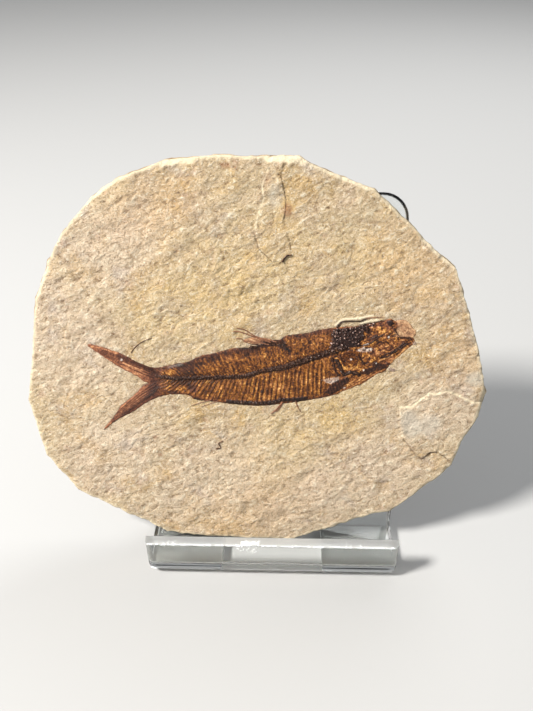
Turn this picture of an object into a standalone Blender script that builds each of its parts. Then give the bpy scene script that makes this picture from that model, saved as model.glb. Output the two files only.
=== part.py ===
"""Fossil fish on a split limestone slab that leans on a bent clear easel.

Outlines are drawn in millimetres and become metres when a mesh is made. The stone, the fish and the loose
bones are drawn flat on the bed plane (x to the right, y up the slab, z out of the stone towards the viewer)
and hang from one empty that leans the bed back. The easel is drawn upright. The world origin is the middle
of the whole display's footprint, on the surface that it stands on.
"""

import math
import random

import bmesh
import bpy
from mathutils import Vector, noise
from mathutils.geometry import delaunay_2d_cdt

MM = 0.001
GAP = 0.3                    # clearance between pieces that touch in the real display

# How the stone stands
LEAN = math.radians(18)      # the bed plane leans back from the vertical
BED_FOOT = (11.4, 3.7)       # y and z of the bed plane's lowest point, from the foot of the lip's front

# The stone: a piece of laminated limestone, nipped to a many-sided outline
STONE_THICK = 7.0
STONE_CORNERS = [
    (5.9, 0.2), (-18.0, 0.9), (-33.6, 2.2), (-38.0, 5.0), (-61.0, 16.6), (-69.7, 28.5), (-71.9, 38.5),
    (-73.7, 46.7), (-71.2, 61.2), (-68.7, 77.9), (-64.3, 88.7), (-59.7, 96.6), (-50.8, 106.5), (-43.6, 111.4),
    (-29.9, 116.7), (-16.7, 117.8), (6.4, 117.7), (12.0, 114.8), (27.2, 109.1), (36.9, 100.3), (47.2, 90.7),
    (50.8, 87.9), (53.1, 82.0), (58.2, 67.3), (62.9, 50.4), (61.1, 43.2), (56.9, 35.2), (54.5, 27.5),
    (52.3, 24.8), (36.8, 10.9), (32.6, 10.4),
]
CHIP_LENGTH = 4.6            # the nipped edge breaks in scallops of about this length
CHIP_DEPTH = 0.35
EDGE_LAYERS = [              # depth behind the face, how far the layer stands out, and how ragged it is
    (0.5, 0.10, 0.15),
    (2.3, 0.25, 0.45),
    (4.4, -0.20, 0.50),
    (6.2, -0.90, 0.45),
]
FACE_GRID = 3.7              # spacing of the facets that carry the stone's unevenness
FACE_SWELL = 0.40            # height of the slow waves on the split face
BACK_GRID = 5.0
BACK_SWELL = 0.7
BACK_LEDGE = [(-80.0, 74.0), (-22.0, 66.0), (8.0, 88.0), (70.0, 80.0)]   # a layer split off the back above
BACK_LEDGE_DEPTH = 0.9
RAISED_LAYERS = [            # outline and height of each thin layer of stone left standing on the face
    ([(38.0, 40.5), (37.5, 45.9), (41.1, 46.2), (45.9, 50.8), (51.1, 51.4), (54.2, 50.0), (58.2, 47.8),
      (57.0, 39.0), (53.8, 28.5), (49.7, 31.4), (45.3, 29.0), (39.3, 35.7)], 0.3),
    ([(-1.9, 114.4), (-3.3, 108.0), (-5.4, 98.3), (-4.3, 92.8), (-0.6, 89.2), (2.2, 89.2), (4.6, 92.6),
      (2.8, 99.5), (3.1, 106.3), (1.7, 112.4), (1.9, 114.8)], 0.2),
]

# The bed that the bones lie in
BED_DEPTH = 0.5              # how deep the stone is hollowed under the bones
BED_REACH = (0.4, 1.6)       # the hollow is full depth to the first distance, and gone at the second
BED_CALM = 7.0               # the face is smooth this close to a bone
BONE_BASE = GAP - BED_DEPTH  # underside of every bone
BONE_RIM = 0.22              # height of a bone film's edge above the face

# The fish, head to the right
BODY_OUTLINE = [
    (-33.0, 57.4), (-28.8, 58.7), (-25.1, 59.4), (-21.7, 61.1), (-17.2, 62.2), (-11.5, 63.7), (-5.7, 64.1),
    (-2.8, 66.0), (1.4, 66.5), (4.0, 67.8), (9.5, 68.4), (12.8, 69.4), (18.4, 70.4), (24.3, 70.8),
    (29.3, 71.9), (33.6, 72.9), (38.3, 72.3), (40.9, 69.2), (39.9, 67.8), (40.6, 66.0), (38.6, 63.9),
    (34.4, 59.7), (32.7, 57.3), (30.1, 56.1), (26.0, 53.1), (21.5, 51.2), (16.9, 49.2), (9.4, 47.6),
    (2.0, 46.4), (-3.7, 45.8), (-11.7, 46.2), (-17.8, 46.9), (-23.4, 47.5), (-25.2, 48.8), (-30.9, 49.4),
    (-34.0, 51.0), (-35.5, 54.0),
]
UPPER_LOBE = [
    (-29.0, 58.0), (-35.1, 57.4), (-39.0, 58.5), (-43.4, 60.9), (-46.2, 62.3), (-51.7, 64.0), (-54.6, 64.2),
    (-50.8, 61.2), (-45.9, 57.7), (-40.4, 54.6), (-37.0, 52.5), (-29.0, 51.5),
]
LOWER_LOBE = [
    (-29.0, 49.6), (-32.0, 48.8), (-36.7, 47.1), (-42.1, 43.4), (-46.9, 40.9), (-51.6, 37.2), (-47.7, 42.3),
    (-45.8, 45.3), (-41.8, 48.4), (-39.1, 51.5), (-36.8, 52.6), (-29.0, 55.0),
]
SPINE = [
    (-36.0, 55.0), (-30.1, 54.4), (-26.1, 54.4), (-20.4, 54.7), (-13.5, 55.0), (-8.2, 55.4), (-3.7, 56.9),
    (3.0, 58.2), (7.5, 59.9), (11.5, 61.3), (16.3, 63.0), (20.5, 64.6),
]
FIN_RAYS = [                 # middle line, from the root, and width at the root, of each separate ray
    ([(0.8, 65.2), (-4.6, 67.1), (-8.2, 69.2), (-10.7, 69.9)], 0.9),
    ([(-0.8, 65.0), (-6.0, 67.3), (-9.7, 68.7), (-11.7, 68.8)], 0.9),
    ([(-1.4, 64.5), (-5.5, 65.7), (-8.6, 66.0), (-11.0, 66.6)], 0.9),
    ([(3.6, 47.4), (2.0, 44.0), (-0.4, 42.5)], 0.9),
    ([(6.6, 48.0), (8.0, 43.3)], 0.8),
    ([(-18.6, 48.2), (-24.6, 45.6)], 0.8),
    ([(17.6, 69.4), (19.0, 71.5), (21.6, 72.5), (25.6, 72.6), (33.6, 72.6)], 0.8),
]
LOBE_RAYS = 5                # ridges along each tail lobe
LOBE_RAY_RISE = 0.16
RIB_PITCH = 1.25
RIBS_FROM, RIBS_TO = -26.0, 16.5
RIB_RISE = 0.15
RIB_ROWS = (-0.95, -0.75, -0.5, -0.25, 0.0, 0.25, 0.5, 0.75, 0.95)   # across the flank, belly to back
RIB_SWEEP = 6.6              # how far behind its root a rib of the tail ends; those by the gills stand up
SPINE_RISE = 0.38
SPINE_HALF = 0.8
BODY_SWELL = 0.42
HEAD_BOSSES = [              # middle, radius and height of each raised plate of the head
    ((22.3, 60.9), 4.4, 0.30),   # gill cover
    ((22.3, 60.9), 2.4, 0.20),
    ((20.6, 67.4), 4.4, 0.42),   # back of the skull
    ((33.4, 71.6), 2.2, 0.30),   # brow
    ((36.8, 67.6), 2.6, 0.24),   # snout
    ((30.2, 58.9), 4.0, 0.36),   # jaw
    ((18.4, 52.8), 3.6, 0.26),   # breast fin
]
HEAD_GRID = 1.35

# Bones that lie apart from the fish: middle line and width
LOOSE_BONES = {
    "loose_ray": ([(-41.9, 61.9), (-40.4, 63.8), (-38.2, 65.5), (-35.5, 66.6)], 0.6),
    "loose_bone": ([(2.2, 89.2), (3.4, 90.9), (4.9, 91.2)], 0.9),
    "loose_sliver": ([(-17.4, 31.4), (-16.0, 31.7), (-16.6, 33.3), (-15.2, 34.1)], 0.6),
}

# The easel, one heat-bent sheet
SHEET = 3.2
EASEL_WIDTH = 76.2
LIP_HEIGHT = 14.3
BEND_RADIUS = 3.1            # of the sheet's middle
BACK_REACH = 104.0           # height of the back's top above the surface that the easel stands on
TOP_CORNER = 7.5
WINDOW_HALF = 15.5           # the tongue is cut out of the back and the ledge
TONGUE_HALF = 15.15
HINGE_UP = 50.0              # from the ledge's bend, along the back, to where the tongue bends rearwards
TONGUE_SWING = math.radians(33.5)
TONGUE_BEND_RADIUS = 9.0
EASEL_ROUND = 2.3            # the outer side's long edges are rounded over
CORNER_STEPS = 3
BEND_STEP = math.radians(15)


def clear_scene():
    """Start from an empty file."""
    for thing in list(bpy.data.objects):
        bpy.data.objects.remove(thing, do_unlink=True)


def make_material(name, colour, roughness, transmission=0.0, ior=1.5):
    """A Principled surface in one plain colour."""
    material = bpy.data.materials.new(name)
    material.use_nodes = True
    shader = material.node_tree.nodes["Principled BSDF"]
    shader.inputs["Base Color"].default_value = (*colour, 1.0)
    shader.inputs["Roughness"].default_value = roughness
    shader.inputs["Metallic"].default_value = 0.0
    shader.inputs["IOR"].default_value = ior
    shader.inputs["Transmission Weight"].default_value = transmission
    return material


# ---------------------------------------------------------------- flat drawing, in millimetres

def smooth_curve(points, cuts, closed=False):
    """Points on a smooth curve through the given ones, with a few between each pair."""
    count = len(points)
    spans = count if closed else count - 1

    def pick(index):
        return Vector(points[index % count] if closed else points[min(max(index, 0), count - 1)])

    curve = []
    for span in range(spans):
        before, start, end, after = (pick(span + k) for k in (-1, 0, 1, 2))
        for cut in range(cuts):
            t = cut / cuts
            curve.append(0.5 * (2 * start + (end - before) * t
                                + (2 * before - 5 * start + 4 * end - after) * t ** 2
                                + (3 * start - before - 3 * end + after) * t ** 3))
    if not closed:
        curve.append(Vector(points[-1]))
    return curve


def is_inside(point, loop):
    """Whether a point is inside a closed outline."""
    inside = False
    for a, b in zip(loop, loop[1:] + loop[:1]):
        if (a[1] > point[1]) != (b[1] > point[1]):
            crossing = a[0] + (point[1] - a[1]) / (b[1] - a[1]) * (b[0] - a[0])
            inside ^= point[0] < crossing
    return inside


def line_distance(point, line, closed=False):
    """Distance from a point to a line of points."""
    ends = line[1:] + line[:1] if closed else line[1:]
    best = math.inf
    for a, b in zip(line, ends):
        dx, dy = b[0] - a[0], b[1] - a[1]
        along = ((point[0] - a[0]) * dx + (point[1] - a[1]) * dy) / max(dx * dx + dy * dy, 1e-12)
        along = min(max(along, 0.0), 1.0)
        best = min(best, math.hypot(point[0] - a[0] - along * dx, point[1] - a[1] - along * dy))
    return best


def outward(loop, index):
    """Outward direction at a corner of a closed outline."""
    turn = sum(a[0] * b[1] - b[0] * a[1] for a, b in zip(loop, loop[1:] + loop[:1]))
    along = Vector(loop[(index + 1) % len(loop)]) - Vector(loop[index - 1])
    side = Vector((along.y, -along.x)).normalized()
    return side if turn > 0 else -side


def grown(loop, distances):
    """The outline pushed outwards, by one distance or by one for each corner."""
    if not isinstance(distances, list):
        distances = [distances] * len(loop)
    return [Vector(point) + outward(loop, k) * distances[k] for k, point in enumerate(loop)]


def fade(value, start, end):
    """0 before start, 1 past end, and a smooth step between."""
    t = min(max((value - start) / (end - start), 0.0), 1.0)
    return t * t * (3 - 2 * t)


def height_at(line, x):
    """The y of a line of points at x, for a line that runs from left to right."""
    for a, b in zip(line, line[1:]):
        if x <= b[0]:
            return a[1] + (b[1] - a[1]) * (x - a[0]) / (b[0] - a[0])
    return line[-1][1]


def tapered(line, width):
    """A closed outline round a middle line, full width near the root and a third of it at the tip."""
    left, right = [], []
    for k, point in enumerate(line):
        along = Vector(line[min(k + 1, len(line) - 1)]) - Vector(line[max(k - 1, 0)])
        side = Vector((-along.y, along.x)).normalized()
        half = 0.5 * width * (1 - 0.65 * k / (len(line) - 1))
        left.append(Vector(point) + side * half)
        right.append(Vector(point) - side * half)
    return left + right[::-1]


def grid_points(loop, spacing, margin, scatter, rng):
    """Scattered points inside an outline, none of them near it."""
    lows = [min(p[axis] for p in loop) for axis in (0, 1)]
    highs = [max(p[axis] for p in loop) for axis in (0, 1)]
    points = []
    for row in range(int((highs[1] - lows[1]) / (spacing * 0.87)) + 1):
        for column in range(int((highs[0] - lows[0]) / spacing) + 2):
            x = lows[0] + (column - 0.5 * (row % 2)) * spacing + rng.uniform(-scatter, scatter)
            y = lows[1] + row * spacing * 0.87 + rng.uniform(-scatter, scatter)
            if is_inside((x, y), loop) and line_distance((x, y), loop, closed=True) > margin:
                points.append(Vector((x, y)))
    return points


def triangulate(loops, lines=(), seeds=()):
    """Triangles over what the loops cover, with edges along the loops and the lines."""
    points, edges = [], []
    for chain, closed in [(loop, True) for loop in loops] + [(line, False) for line in lines]:
        first, count = len(points), len(chain)
        points += [Vector(point) for point in chain]
        edges += [(first + k, first + (k + 1) % count) for k in range(count if closed else count - 1)]
    points += [Vector(point) for point in seeds]
    verts, _, faces, sources, _, _ = delaunay_2d_cdt(points, edges, [], 0, 1e-4)
    kept = []
    for face in faces:
        middle = sum((verts[k] for k in face), Vector((0.0, 0.0))) / 3
        if any(is_inside(middle, loop) for loop in loops):
            kept.append(face)
    return verts, kept, sources


# ---------------------------------------------------------------- solids

def finish_object(name, bm, material, parent):
    """Turn a drawing in millimetres into an object in metres that hangs from its parent."""
    bmesh.ops.remove_doubles(bm, verts=bm.verts, dist=1e-4)
    bmesh.ops.scale(bm, vec=(MM, MM, MM), verts=bm.verts)
    bmesh.ops.recalc_face_normals(bm, faces=bm.faces)
    mesh = bpy.data.meshes.new(name)
    bm.to_mesh(mesh)
    bm.free()
    mesh.materials.append(material)
    thing = bpy.data.objects.new(name, mesh)
    thing.parent = parent
    bpy.context.collection.objects.link(thing)
    return thing


def relief_solid(name, loops, lines, seeds, top, material, parent):
    """A film of bone: flat below, with a relief on top and a low wall round its edge."""
    verts, faces, _ = triangulate(loops, lines, seeds)
    used = sorted({k for face in faces for k in face})
    bm = bmesh.new()
    upper = {k: bm.verts.new((*verts[k], top(*verts[k]))) for k in used}
    for face in faces:
        bm.faces.new([upper[k] for k in face])
    rim = [edge for edge in bm.edges if edge.is_boundary]
    walls = bmesh.ops.extrude_edge_only(bm, edges=rim)["geom"]
    lower = [part for part in walls if isinstance(part, bmesh.types.BMVert)]
    for vert in lower:
        vert.co.z = BONE_BASE
    base = [part for part in walls if isinstance(part, bmesh.types.BMEdge) and part.is_boundary]
    bmesh.ops.triangle_fill(bm, use_beauty=True, edges=base)
    bmesh.ops.triangulate(bm, faces=[face for face in bm.faces if len(face.verts) > 3])
    return finish_object(name, bm, material, parent)


def cap(bm, rim, outline, lines, seeds, height):
    """Close a ring of vertices with an uneven face."""
    verts, faces, sources = triangulate([outline], lines, seeds)
    made = []
    for place, origin in zip(verts, sources):
        shared = [k for k in origin if k < len(outline)]
        made.append(rim[shared[0]] if shared else bm.verts.new((*place, height(*place))))
    for face in faces:
        bm.faces.new([made[k] for k in face])


# ---------------------------------------------------------------- the fish

def fish_loops():
    """Outlines of the body, the two tail lobes and the separate fin rays, which overlap."""
    loops = [smooth_curve(BODY_OUTLINE, 2, closed=True)]
    loops += [smooth_curve(lobe, 2, closed=True) for lobe in (UPPER_LOBE, LOWER_LOBE)]
    loops += [tapered(smooth_curve(line, 2), width) for line, width in FIN_RAYS]
    return loops


def flank_edges(body, x):
    """Belly and back heights of the body outline at x."""
    crossings = []
    for a, b in zip(body, body[1:] + body[:1]):
        if (a[0] > x) != (b[0] > x):
            crossings.append(a[1] + (b[1] - a[1]) * (x - a[0]) / (b[0] - a[0]))
    return min(crossings), max(crossings)


def rib_sweep(root_x):
    """How far behind its root a rib ends."""
    return RIB_SWEEP * (1 - fade(root_x, RIBS_FROM - 14.0, RIBS_TO))


def rib_point(body, root_x, across):
    """A point on a rib: across is 0 at the spine, -1 at the belly and 1 at the back."""
    middle = height_at(SPINE, root_x)
    x = root_x - rib_sweep(root_x) * abs(across)
    low, high = flank_edges(body, x)
    reach = (middle - low) if across < 0 else (high - middle)
    return Vector((x, middle + across * reach))


def rib_lines(body):
    """Lines along each rib and along the hollow behind it."""
    count = round((RIBS_TO - RIBS_FROM) / (RIB_PITCH / 2))
    return [[rib_point(body, RIBS_FROM + k * RIB_PITCH / 2, across) for across in RIB_ROWS]
            for k in range(count + 1)]


def rib_place(body, x, y):
    """Where the rib through a point has its root, and how far across the flank the point is."""
    low, high = flank_edges(body, x)
    root_x, across = x, 0.0
    for _ in range(6):
        middle = height_at(SPINE, root_x)
        across = (y - middle) / ((middle - low) if y < middle else (high - middle))
        root_x = x + rib_sweep(root_x) * min(abs(across), 1.0)
    return root_x, across


def lobe_lines(root, tip, outer, inner):
    """Ridges that fan along a tail lobe from its root towards its tip."""
    lines = []
    for k in range(LOBE_RAYS):
        share = (k + 0.8) / (LOBE_RAYS + 0.6)
        end = Vector(outer).lerp(Vector(inner), share).lerp(Vector(tip), 0.35)
        start = Vector(root) + Vector((0.0, (0.5 - share) * 2.6))
        middle = start.lerp(end, 0.5)
        lines.append([start, middle, end])
    return lines


def make_fish(material, parent):
    """The whole fish: one film of bone with its spine, ribs, skull and fin rays."""
    rng = random.Random(11)
    loops = fish_loops()
    body = loops[0]
    ribs = rib_lines(body)
    upper_rays = lobe_lines((-36.0, 55.9), (-54.0, 63.9), (-46.5, 61.6), (-45.4, 58.2))
    lower_rays = lobe_lines((-36.0, 50.9), (-50.6, 38.4), (-44.2, 46.6), (-44.8, 42.8))
    head = [point for point in grid_points(body, HEAD_GRID, 0.7, 0.2, rng) if point.x > RIBS_TO + 0.9]
    wrist = [point for point in grid_points(body, HEAD_GRID, 0.7, 0.2, rng)
             if rib_place(body, *point)[0] < RIBS_FROM - 0.9]

    def top(x, y):
        in_body = is_inside((x, y), body)
        edge = line_distance((x, y), body, closed=True) if in_body else 0.0
        rise = BONE_RIM + BODY_SWELL * fade(edge, 0.0, 6.0)
        ray = min(line_distance((x, y), line) for line in upper_rays + lower_rays)
        rise += LOBE_RAY_RISE * (1 - fade(ray, 0.0, 0.45))
        rise += SPINE_RISE * (1 - fade(line_distance((x, y), SPINE), 0.0, SPINE_HALF)) * fade(edge, 0.0, 1.5)
        if in_body and RIBS_FROM - RIB_SWEEP < x < RIBS_TO + RIB_PITCH / 2:
            root_x, across = rib_place(body, x, y)
            phase = (root_x - RIBS_FROM) / RIB_PITCH
            on_ribs = fade(abs(across), 0.0, 0.25) * fade(root_x, RIBS_FROM - 0.7, RIBS_FROM)
            rise += RIB_RISE * math.cos(2 * math.pi * phase) * on_ribs
        for centre, radius, height in HEAD_BOSSES:
            away = math.hypot(x - centre[0], y - centre[1]) / radius
            rise += height * (1 - fade(away, 0.0, 1.0))
        return rise

    lines = ribs + upper_rays + lower_rays
    return relief_solid("fish", loops, lines, head + wrist, top, material, parent)


def make_loose_bones(material, parent):
    """Single bones that lie on the bed apart from the fish."""
    for name, (line, width) in LOOSE_BONES.items():
        loop = tapered(smooth_curve(line, 3), width)
        relief_solid(name, [loop], [], [], lambda x, y: BONE_RIM + 0.12, material, parent)


# ---------------------------------------------------------------- the stone

def nipped_outline(rng):
    """The stone's outline, each side broken into shallow scallops."""
    outline = []
    for start, end in zip(STONE_CORNERS, STONE_CORNERS[1:] + STONE_CORNERS[:1]):
        start, end = Vector(start), Vector(end)
        side = end - start
        chips = max(1, round(side.length / CHIP_LENGTH))
        inwards = Vector((side.y, -side.x)).normalized()
        outline.append(start)
        for chip in range(1, chips):
            place = start.lerp(end, (chip + rng.uniform(-0.2, 0.2)) / chips)
            outline.append(place + inwards * rng.uniform(0.0, CHIP_DEPTH))
    return outline


def make_slab(material, parent):
    """The split stone, uneven on its face, layered round its edge and ledged on its back."""
    rng = random.Random(5)
    outline = nipped_outline(rng)
    bones = fish_loops() + [tapered(smooth_curve(line, 3), width) for line, width in LOOSE_BONES.values()]

    def bone_distance(x, y):
        if any(is_inside((x, y), loop) for loop in bones):
            return 0.0
        return min(line_distance((x, y), loop, closed=True) for loop in bones)

    def face_height(x, y):
        away = bone_distance(x, y)
        waves = noise.fractal(Vector((x, y, 0.0)) / 17.0, 0.9, 2.2, 3)
        rise = FACE_SWELL * waves * fade(away, BED_REACH[1], BED_CALM)
        rise -= BED_DEPTH * (1 - fade(away, *BED_REACH))
        for layer, height in RAISED_LAYERS:
            if is_inside((x, y), layer):
                rise += height * fade(line_distance((x, y), layer, closed=True), 0.0, 0.8)
        return rise

    def back_height(x, y):
        waves = noise.fractal(Vector((x, y, 40.0)) / 15.0, 0.9, 2.2, 3)
        lost = BACK_SWELL * (0.5 + 0.5 * min(max(waves, -1.0), 1.0))
        lost += BACK_LEDGE_DEPTH * fade(y - height_at(BACK_LEDGE, x), -0.6, 0.6)
        return lost - STONE_THICK

    bm = bmesh.new()
    rings = [[bm.verts.new((*point, face_height(*point) - 0.15)) for point in outline]]
    loop = outline
    for depth, stands_out, ragged in EDGE_LAYERS:
        loop = grown(outline, [stands_out + rng.uniform(-ragged, ragged) for _ in outline])
        level = [-depth + rng.uniform(-0.25, 0.25) for _ in outline]
        rings.append([bm.verts.new((*point, z)) for point, z in zip(loop, level)])
    for outer, inner in zip(rings, rings[1:]):
        for k in range(len(outline)):
            after = (k + 1) % len(outline)
            bm.faces.new([outer[k], outer[after], inner[after], inner[k]])

    hollow_loops = [grown(bone, BED_REACH[0]) for bone in bones]
    hollow_lines = [ring + ring[:1] for ring in hollow_loops]
    brim = [point for bone in bones for point in grown(bone, BED_REACH[1]) if bone_distance(*point) > 1.2]
    inside_hollow = [point for point in grid_points(outline, FACE_GRID, 1.6, 0.7, rng)
                     if bone_distance(*point) == 0.0 or bone_distance(*point) > BED_REACH[1] + 0.8]
    layer_lines = [layer + layer[:1] for layer, _ in RAISED_LAYERS]
    layer_tops = [point for layer, _ in RAISED_LAYERS for point in grown(layer, -0.8)]
    cap(bm, rings[0], outline, hollow_lines + layer_lines, brim + inside_hollow + layer_tops, face_height)

    back_seeds = grid_points(loop, BACK_GRID, 2.0, 0.9, rng)
    cap(bm, rings[-1], loop, [], back_seeds, back_height)
    bmesh.ops.triangulate(bm, faces=[face for face in bm.faces if len(face.verts) > 3])
    return finish_object("slab", bm, material, parent)


# ---------------------------------------------------------------- the easel

class SheetPath:
    """The middle of the bent sheet in side view, walked from one station to the next."""

    def __init__(self, y, z, heading):
        self.y, self.z, self.heading = y, z, heading
        self.stations = [(y, z, heading)]

    def step(self, length):
        self.y += math.cos(self.heading) * length
        self.z += math.sin(self.heading) * length

    def straight(self, length):
        self.step(length)
        self.stations.append((self.y, self.z, self.heading))

    def bend(self, radius, angle):
        steps = max(2, round(abs(angle) / BEND_STEP))
        half_turn = angle / steps / 2
        for _ in range(steps):
            self.heading += half_turn
            self.step(2 * radius * math.sin(abs(half_turn)))
            self.heading += half_turn
            self.stations.append((self.y, self.z, self.heading))


def easel_paths():
    """Stations of the whole sheet and of the tongue, with the rows where window, hinge and crown begin."""
    half = SHEET / 2
    back_turn = math.pi / 2 - LEAN
    back_gap = STONE_THICK + GAP + half                 # from the bed plane to the middle of the back
    back_y = BED_FOOT[0] + back_gap * math.cos(LEAN)
    back_z = BED_FOOT[1] - back_gap * math.sin(LEAN)
    ledge_end = back_y + (half - back_z) * math.tan(LEAN)
    bend_trim = BEND_RADIUS * math.tan(back_turn / 2)

    sheet = SheetPath(half, LIP_HEIGHT, -math.pi / 2)
    sheet.straight(LIP_HEIGHT - half - BEND_RADIUS)
    sheet.bend(BEND_RADIUS, math.pi / 2)
    window_row = len(sheet.stations) - 1
    sheet.straight(ledge_end - half - BEND_RADIUS - bend_trim)
    sheet.bend(BEND_RADIUS, back_turn)
    sheet.straight(HINGE_UP)
    hinge_row = len(sheet.stations) - 1
    sheet.straight((BACK_REACH - half * math.sin(LEAN) - sheet.z) / math.cos(LEAN) - TOP_CORNER)
    crown_row = len(sheet.stations) - 1
    for k in range(CORNER_STEPS):
        turn = math.pi / 2 / CORNER_STEPS
        sheet.straight(TOP_CORNER * (math.sin((k + 1) * turn) - math.sin(k * turn)))

    hinge_y, hinge_z, _ = sheet.stations[hinge_row]
    tongue = SheetPath(hinge_y, hinge_z, -math.pi / 2 - LEAN)
    tongue.bend(TONGUE_BEND_RADIUS, LEAN + TONGUE_SWING)
    tongue.straight((tongue.z - half * math.sin(TONGUE_SWING)) / math.cos(TONGUE_SWING))
    return sheet.stations, tongue.stations, window_row, hinge_row, crown_row


def make_easel(material, parent):
    """The clear easel: lip, ledge and back in one sheet, with the tongue bent out of it as the leg."""
    sheet, tongue, window_row, hinge_row, crown_row = easel_paths()
    half_width = EASEL_WIDTH / 2
    bm = bmesh.new()
    outer_of = {}

    def row(station, places, flip=1):
        """The sheet's inner vertices across a station, each with a partner on the outer side."""
        y, z, heading = station
        through = Vector((0.0, -math.sin(heading), math.cos(heading))) * (SHEET / 2 * flip)
        inner = [bm.verts.new(Vector((x, y, z)) + through) for x in places]
        for vert in inner:
            outer_of[vert] = bm.verts.new(vert.co - 2 * through)
        return inner

    def panel(below, above, column):
        """The inner and the outer face of the sheet between two rows."""
        corners = [below[column], below[column + 1], above[column + 1], above[column]]
        bm.faces.new(corners)
        bm.faces.new([outer_of[corner] for corner in reversed(corners)])

    rows = []
    for k, station in enumerate(sheet):
        turn = max(k - crown_row, 0) * math.pi / 2 / CORNER_STEPS
        edge = half_width - TOP_CORNER * (1 - math.cos(turn))
        rows.append(row(station, (-edge, -WINDOW_HALF, WINDOW_HALF, edge)))
    for k in range(len(rows) - 1):
        for column in range(3):
            if column != 1 or not window_row <= k < hinge_row:
                panel(rows[k], rows[k + 1], column)
    above = rows[hinge_row][1:3]
    for station in tongue[1:]:
        below = row(station, (-TONGUE_HALF, TONGUE_HALF), flip=-1)
        panel(below, above, 0)
        above = below

    for edge in [edge for edge in bm.edges if edge.is_boundary and edge.verts[0] in outer_of]:
        a, b = edge.verts
        bm.faces.new([a, b, outer_of[b], outer_of[a]])
    outside = {outer_of[vert] for line in rows for vert in (line[0], line[-1])}
    outside.update(outer_of[vert] for vert in rows[-1])
    crown = {outer_of[vert] for vert in rows[-1]}
    rounded = [edge for edge in bm.edges
               if outside.issuperset(edge.verts) and (abs(edge.verts[0].co.x - edge.verts[1].co.x) < TOP_CORNER
                                                      or crown.issuperset(edge.verts))]
    bmesh.ops.recalc_face_normals(bm, faces=bm.faces)
    bmesh.ops.bevel(bm, geom=rounded, offset=EASEL_ROUND, segments=3, profile=0.5, affect="EDGES")
    bmesh.ops.triangulate(bm, faces=bm.faces)
    stand = finish_object("stand", bm, material, parent)
    stand.data.shade_smooth()
    stand.data.set_sharp_from_angle(angle=math.radians(35))
    return stand


def centre_on_footprint(root):
    """Move everything so that the origin is the middle of the footprint, on the ground."""
    bpy.context.view_layer.update()
    graph = bpy.context.evaluated_depsgraph_get()
    corners = []
    for thing in bpy.context.collection.objects:
        if thing.type == "MESH":
            solid = thing.evaluated_get(graph)
            corners += [solid.matrix_world @ vert.co for vert in solid.data.vertices]
    lows = [min(corner[axis] for corner in corners) for axis in range(3)]
    highs = [max(corner[axis] for corner in corners) for axis in range(3)]
    root.location = (-(lows[0] + highs[0]) / 2, -(lows[1] + highs[1]) / 2, -lows[2])
    bpy.context.view_layer.update()


def build_display():
    clear_scene()
    limestone = make_material("limestone", (0.56, 0.43, 0.28), 0.9)
    fossil_bone = make_material("fossil_bone", (0.16, 0.06, 0.02), 0.5)
    clear_acrylic = make_material("clear_acrylic", (0.95, 0.97, 0.96), 0.05, transmission=1.0, ior=1.49)

    root = bpy.data.objects.new("display", None)
    bed = bpy.data.objects.new("bed_plane", None)
    for empty in (root, bed):
        bpy.context.collection.objects.link(empty)
    bed.parent = root
    bed.location = (0.0, BED_FOOT[0] * MM, BED_FOOT[1] * MM)
    bed.rotation_euler = (math.pi / 2 - LEAN, 0.0, 0.0)

    make_slab(limestone, bed)
    make_fish(fossil_bone, bed)
    make_loose_bones(fossil_bone, bed)
    make_easel(clear_acrylic, root)
    centre_on_footprint(root)


build_display()
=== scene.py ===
"""Looks of the fossil fish display: the split stone, the fish in it, and the clear easel.

What lies on the bed plane is drawn in millimetres (x to the right, y up the slab, z out of the stone) and
one matrix puts it in the world, in metres. The easel is drawn upright in millimetres from its lip's foot.
"""

import math

import bmesh
import bpy
import numpy as np
from mathutils import Matrix, Vector
from mathutils.geometry import delaunay_2d_cdt


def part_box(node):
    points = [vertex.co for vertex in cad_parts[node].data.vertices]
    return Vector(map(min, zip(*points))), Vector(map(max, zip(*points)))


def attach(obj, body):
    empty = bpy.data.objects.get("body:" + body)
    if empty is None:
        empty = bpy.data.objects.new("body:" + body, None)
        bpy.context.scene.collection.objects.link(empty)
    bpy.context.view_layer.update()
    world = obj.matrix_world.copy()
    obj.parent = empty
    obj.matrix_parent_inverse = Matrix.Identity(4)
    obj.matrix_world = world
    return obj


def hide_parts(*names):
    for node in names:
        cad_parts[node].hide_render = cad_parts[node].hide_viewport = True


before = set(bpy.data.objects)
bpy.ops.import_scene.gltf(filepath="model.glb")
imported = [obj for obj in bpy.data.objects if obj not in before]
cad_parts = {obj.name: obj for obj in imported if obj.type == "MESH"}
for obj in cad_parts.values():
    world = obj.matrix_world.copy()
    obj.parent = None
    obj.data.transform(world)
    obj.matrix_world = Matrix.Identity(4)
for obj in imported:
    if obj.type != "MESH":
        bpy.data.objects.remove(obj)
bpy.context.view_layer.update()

MM = 0.001

# ---------------------------------------------------------------- the display's own sizes, in millimetres

LEAN = math.radians(18)
BED_FOOT = (11.4, 3.7)                # y and z of the bed's lowest point, from the foot of the lip's front
STONE_THICK = 7.0
STONE_CORNERS = [
    (5.9, 0.2), (-18.0, 0.9), (-33.6, 2.2), (-38.0, 5.0), (-61.0, 16.6), (-69.7, 28.5), (-71.9, 38.5),
    (-73.7, 46.7), (-71.2, 61.2), (-68.7, 77.9), (-64.3, 88.7), (-59.7, 96.6), (-50.8, 106.5), (-43.6, 111.4),
    (-29.9, 116.7), (-16.7, 117.8), (6.4, 117.7), (12.0, 114.8), (27.2, 109.1), (36.9, 100.3), (47.2, 90.7),
    (50.8, 87.9), (53.1, 82.0), (58.2, 67.3), (62.9, 50.4), (61.1, 43.2), (56.9, 35.2), (54.5, 27.5),
    (52.3, 24.8), (36.8, 10.9), (32.6, 10.4),
]
GRAIN_TURN = math.radians(28)         # the way that the stone's lumps run
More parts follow.
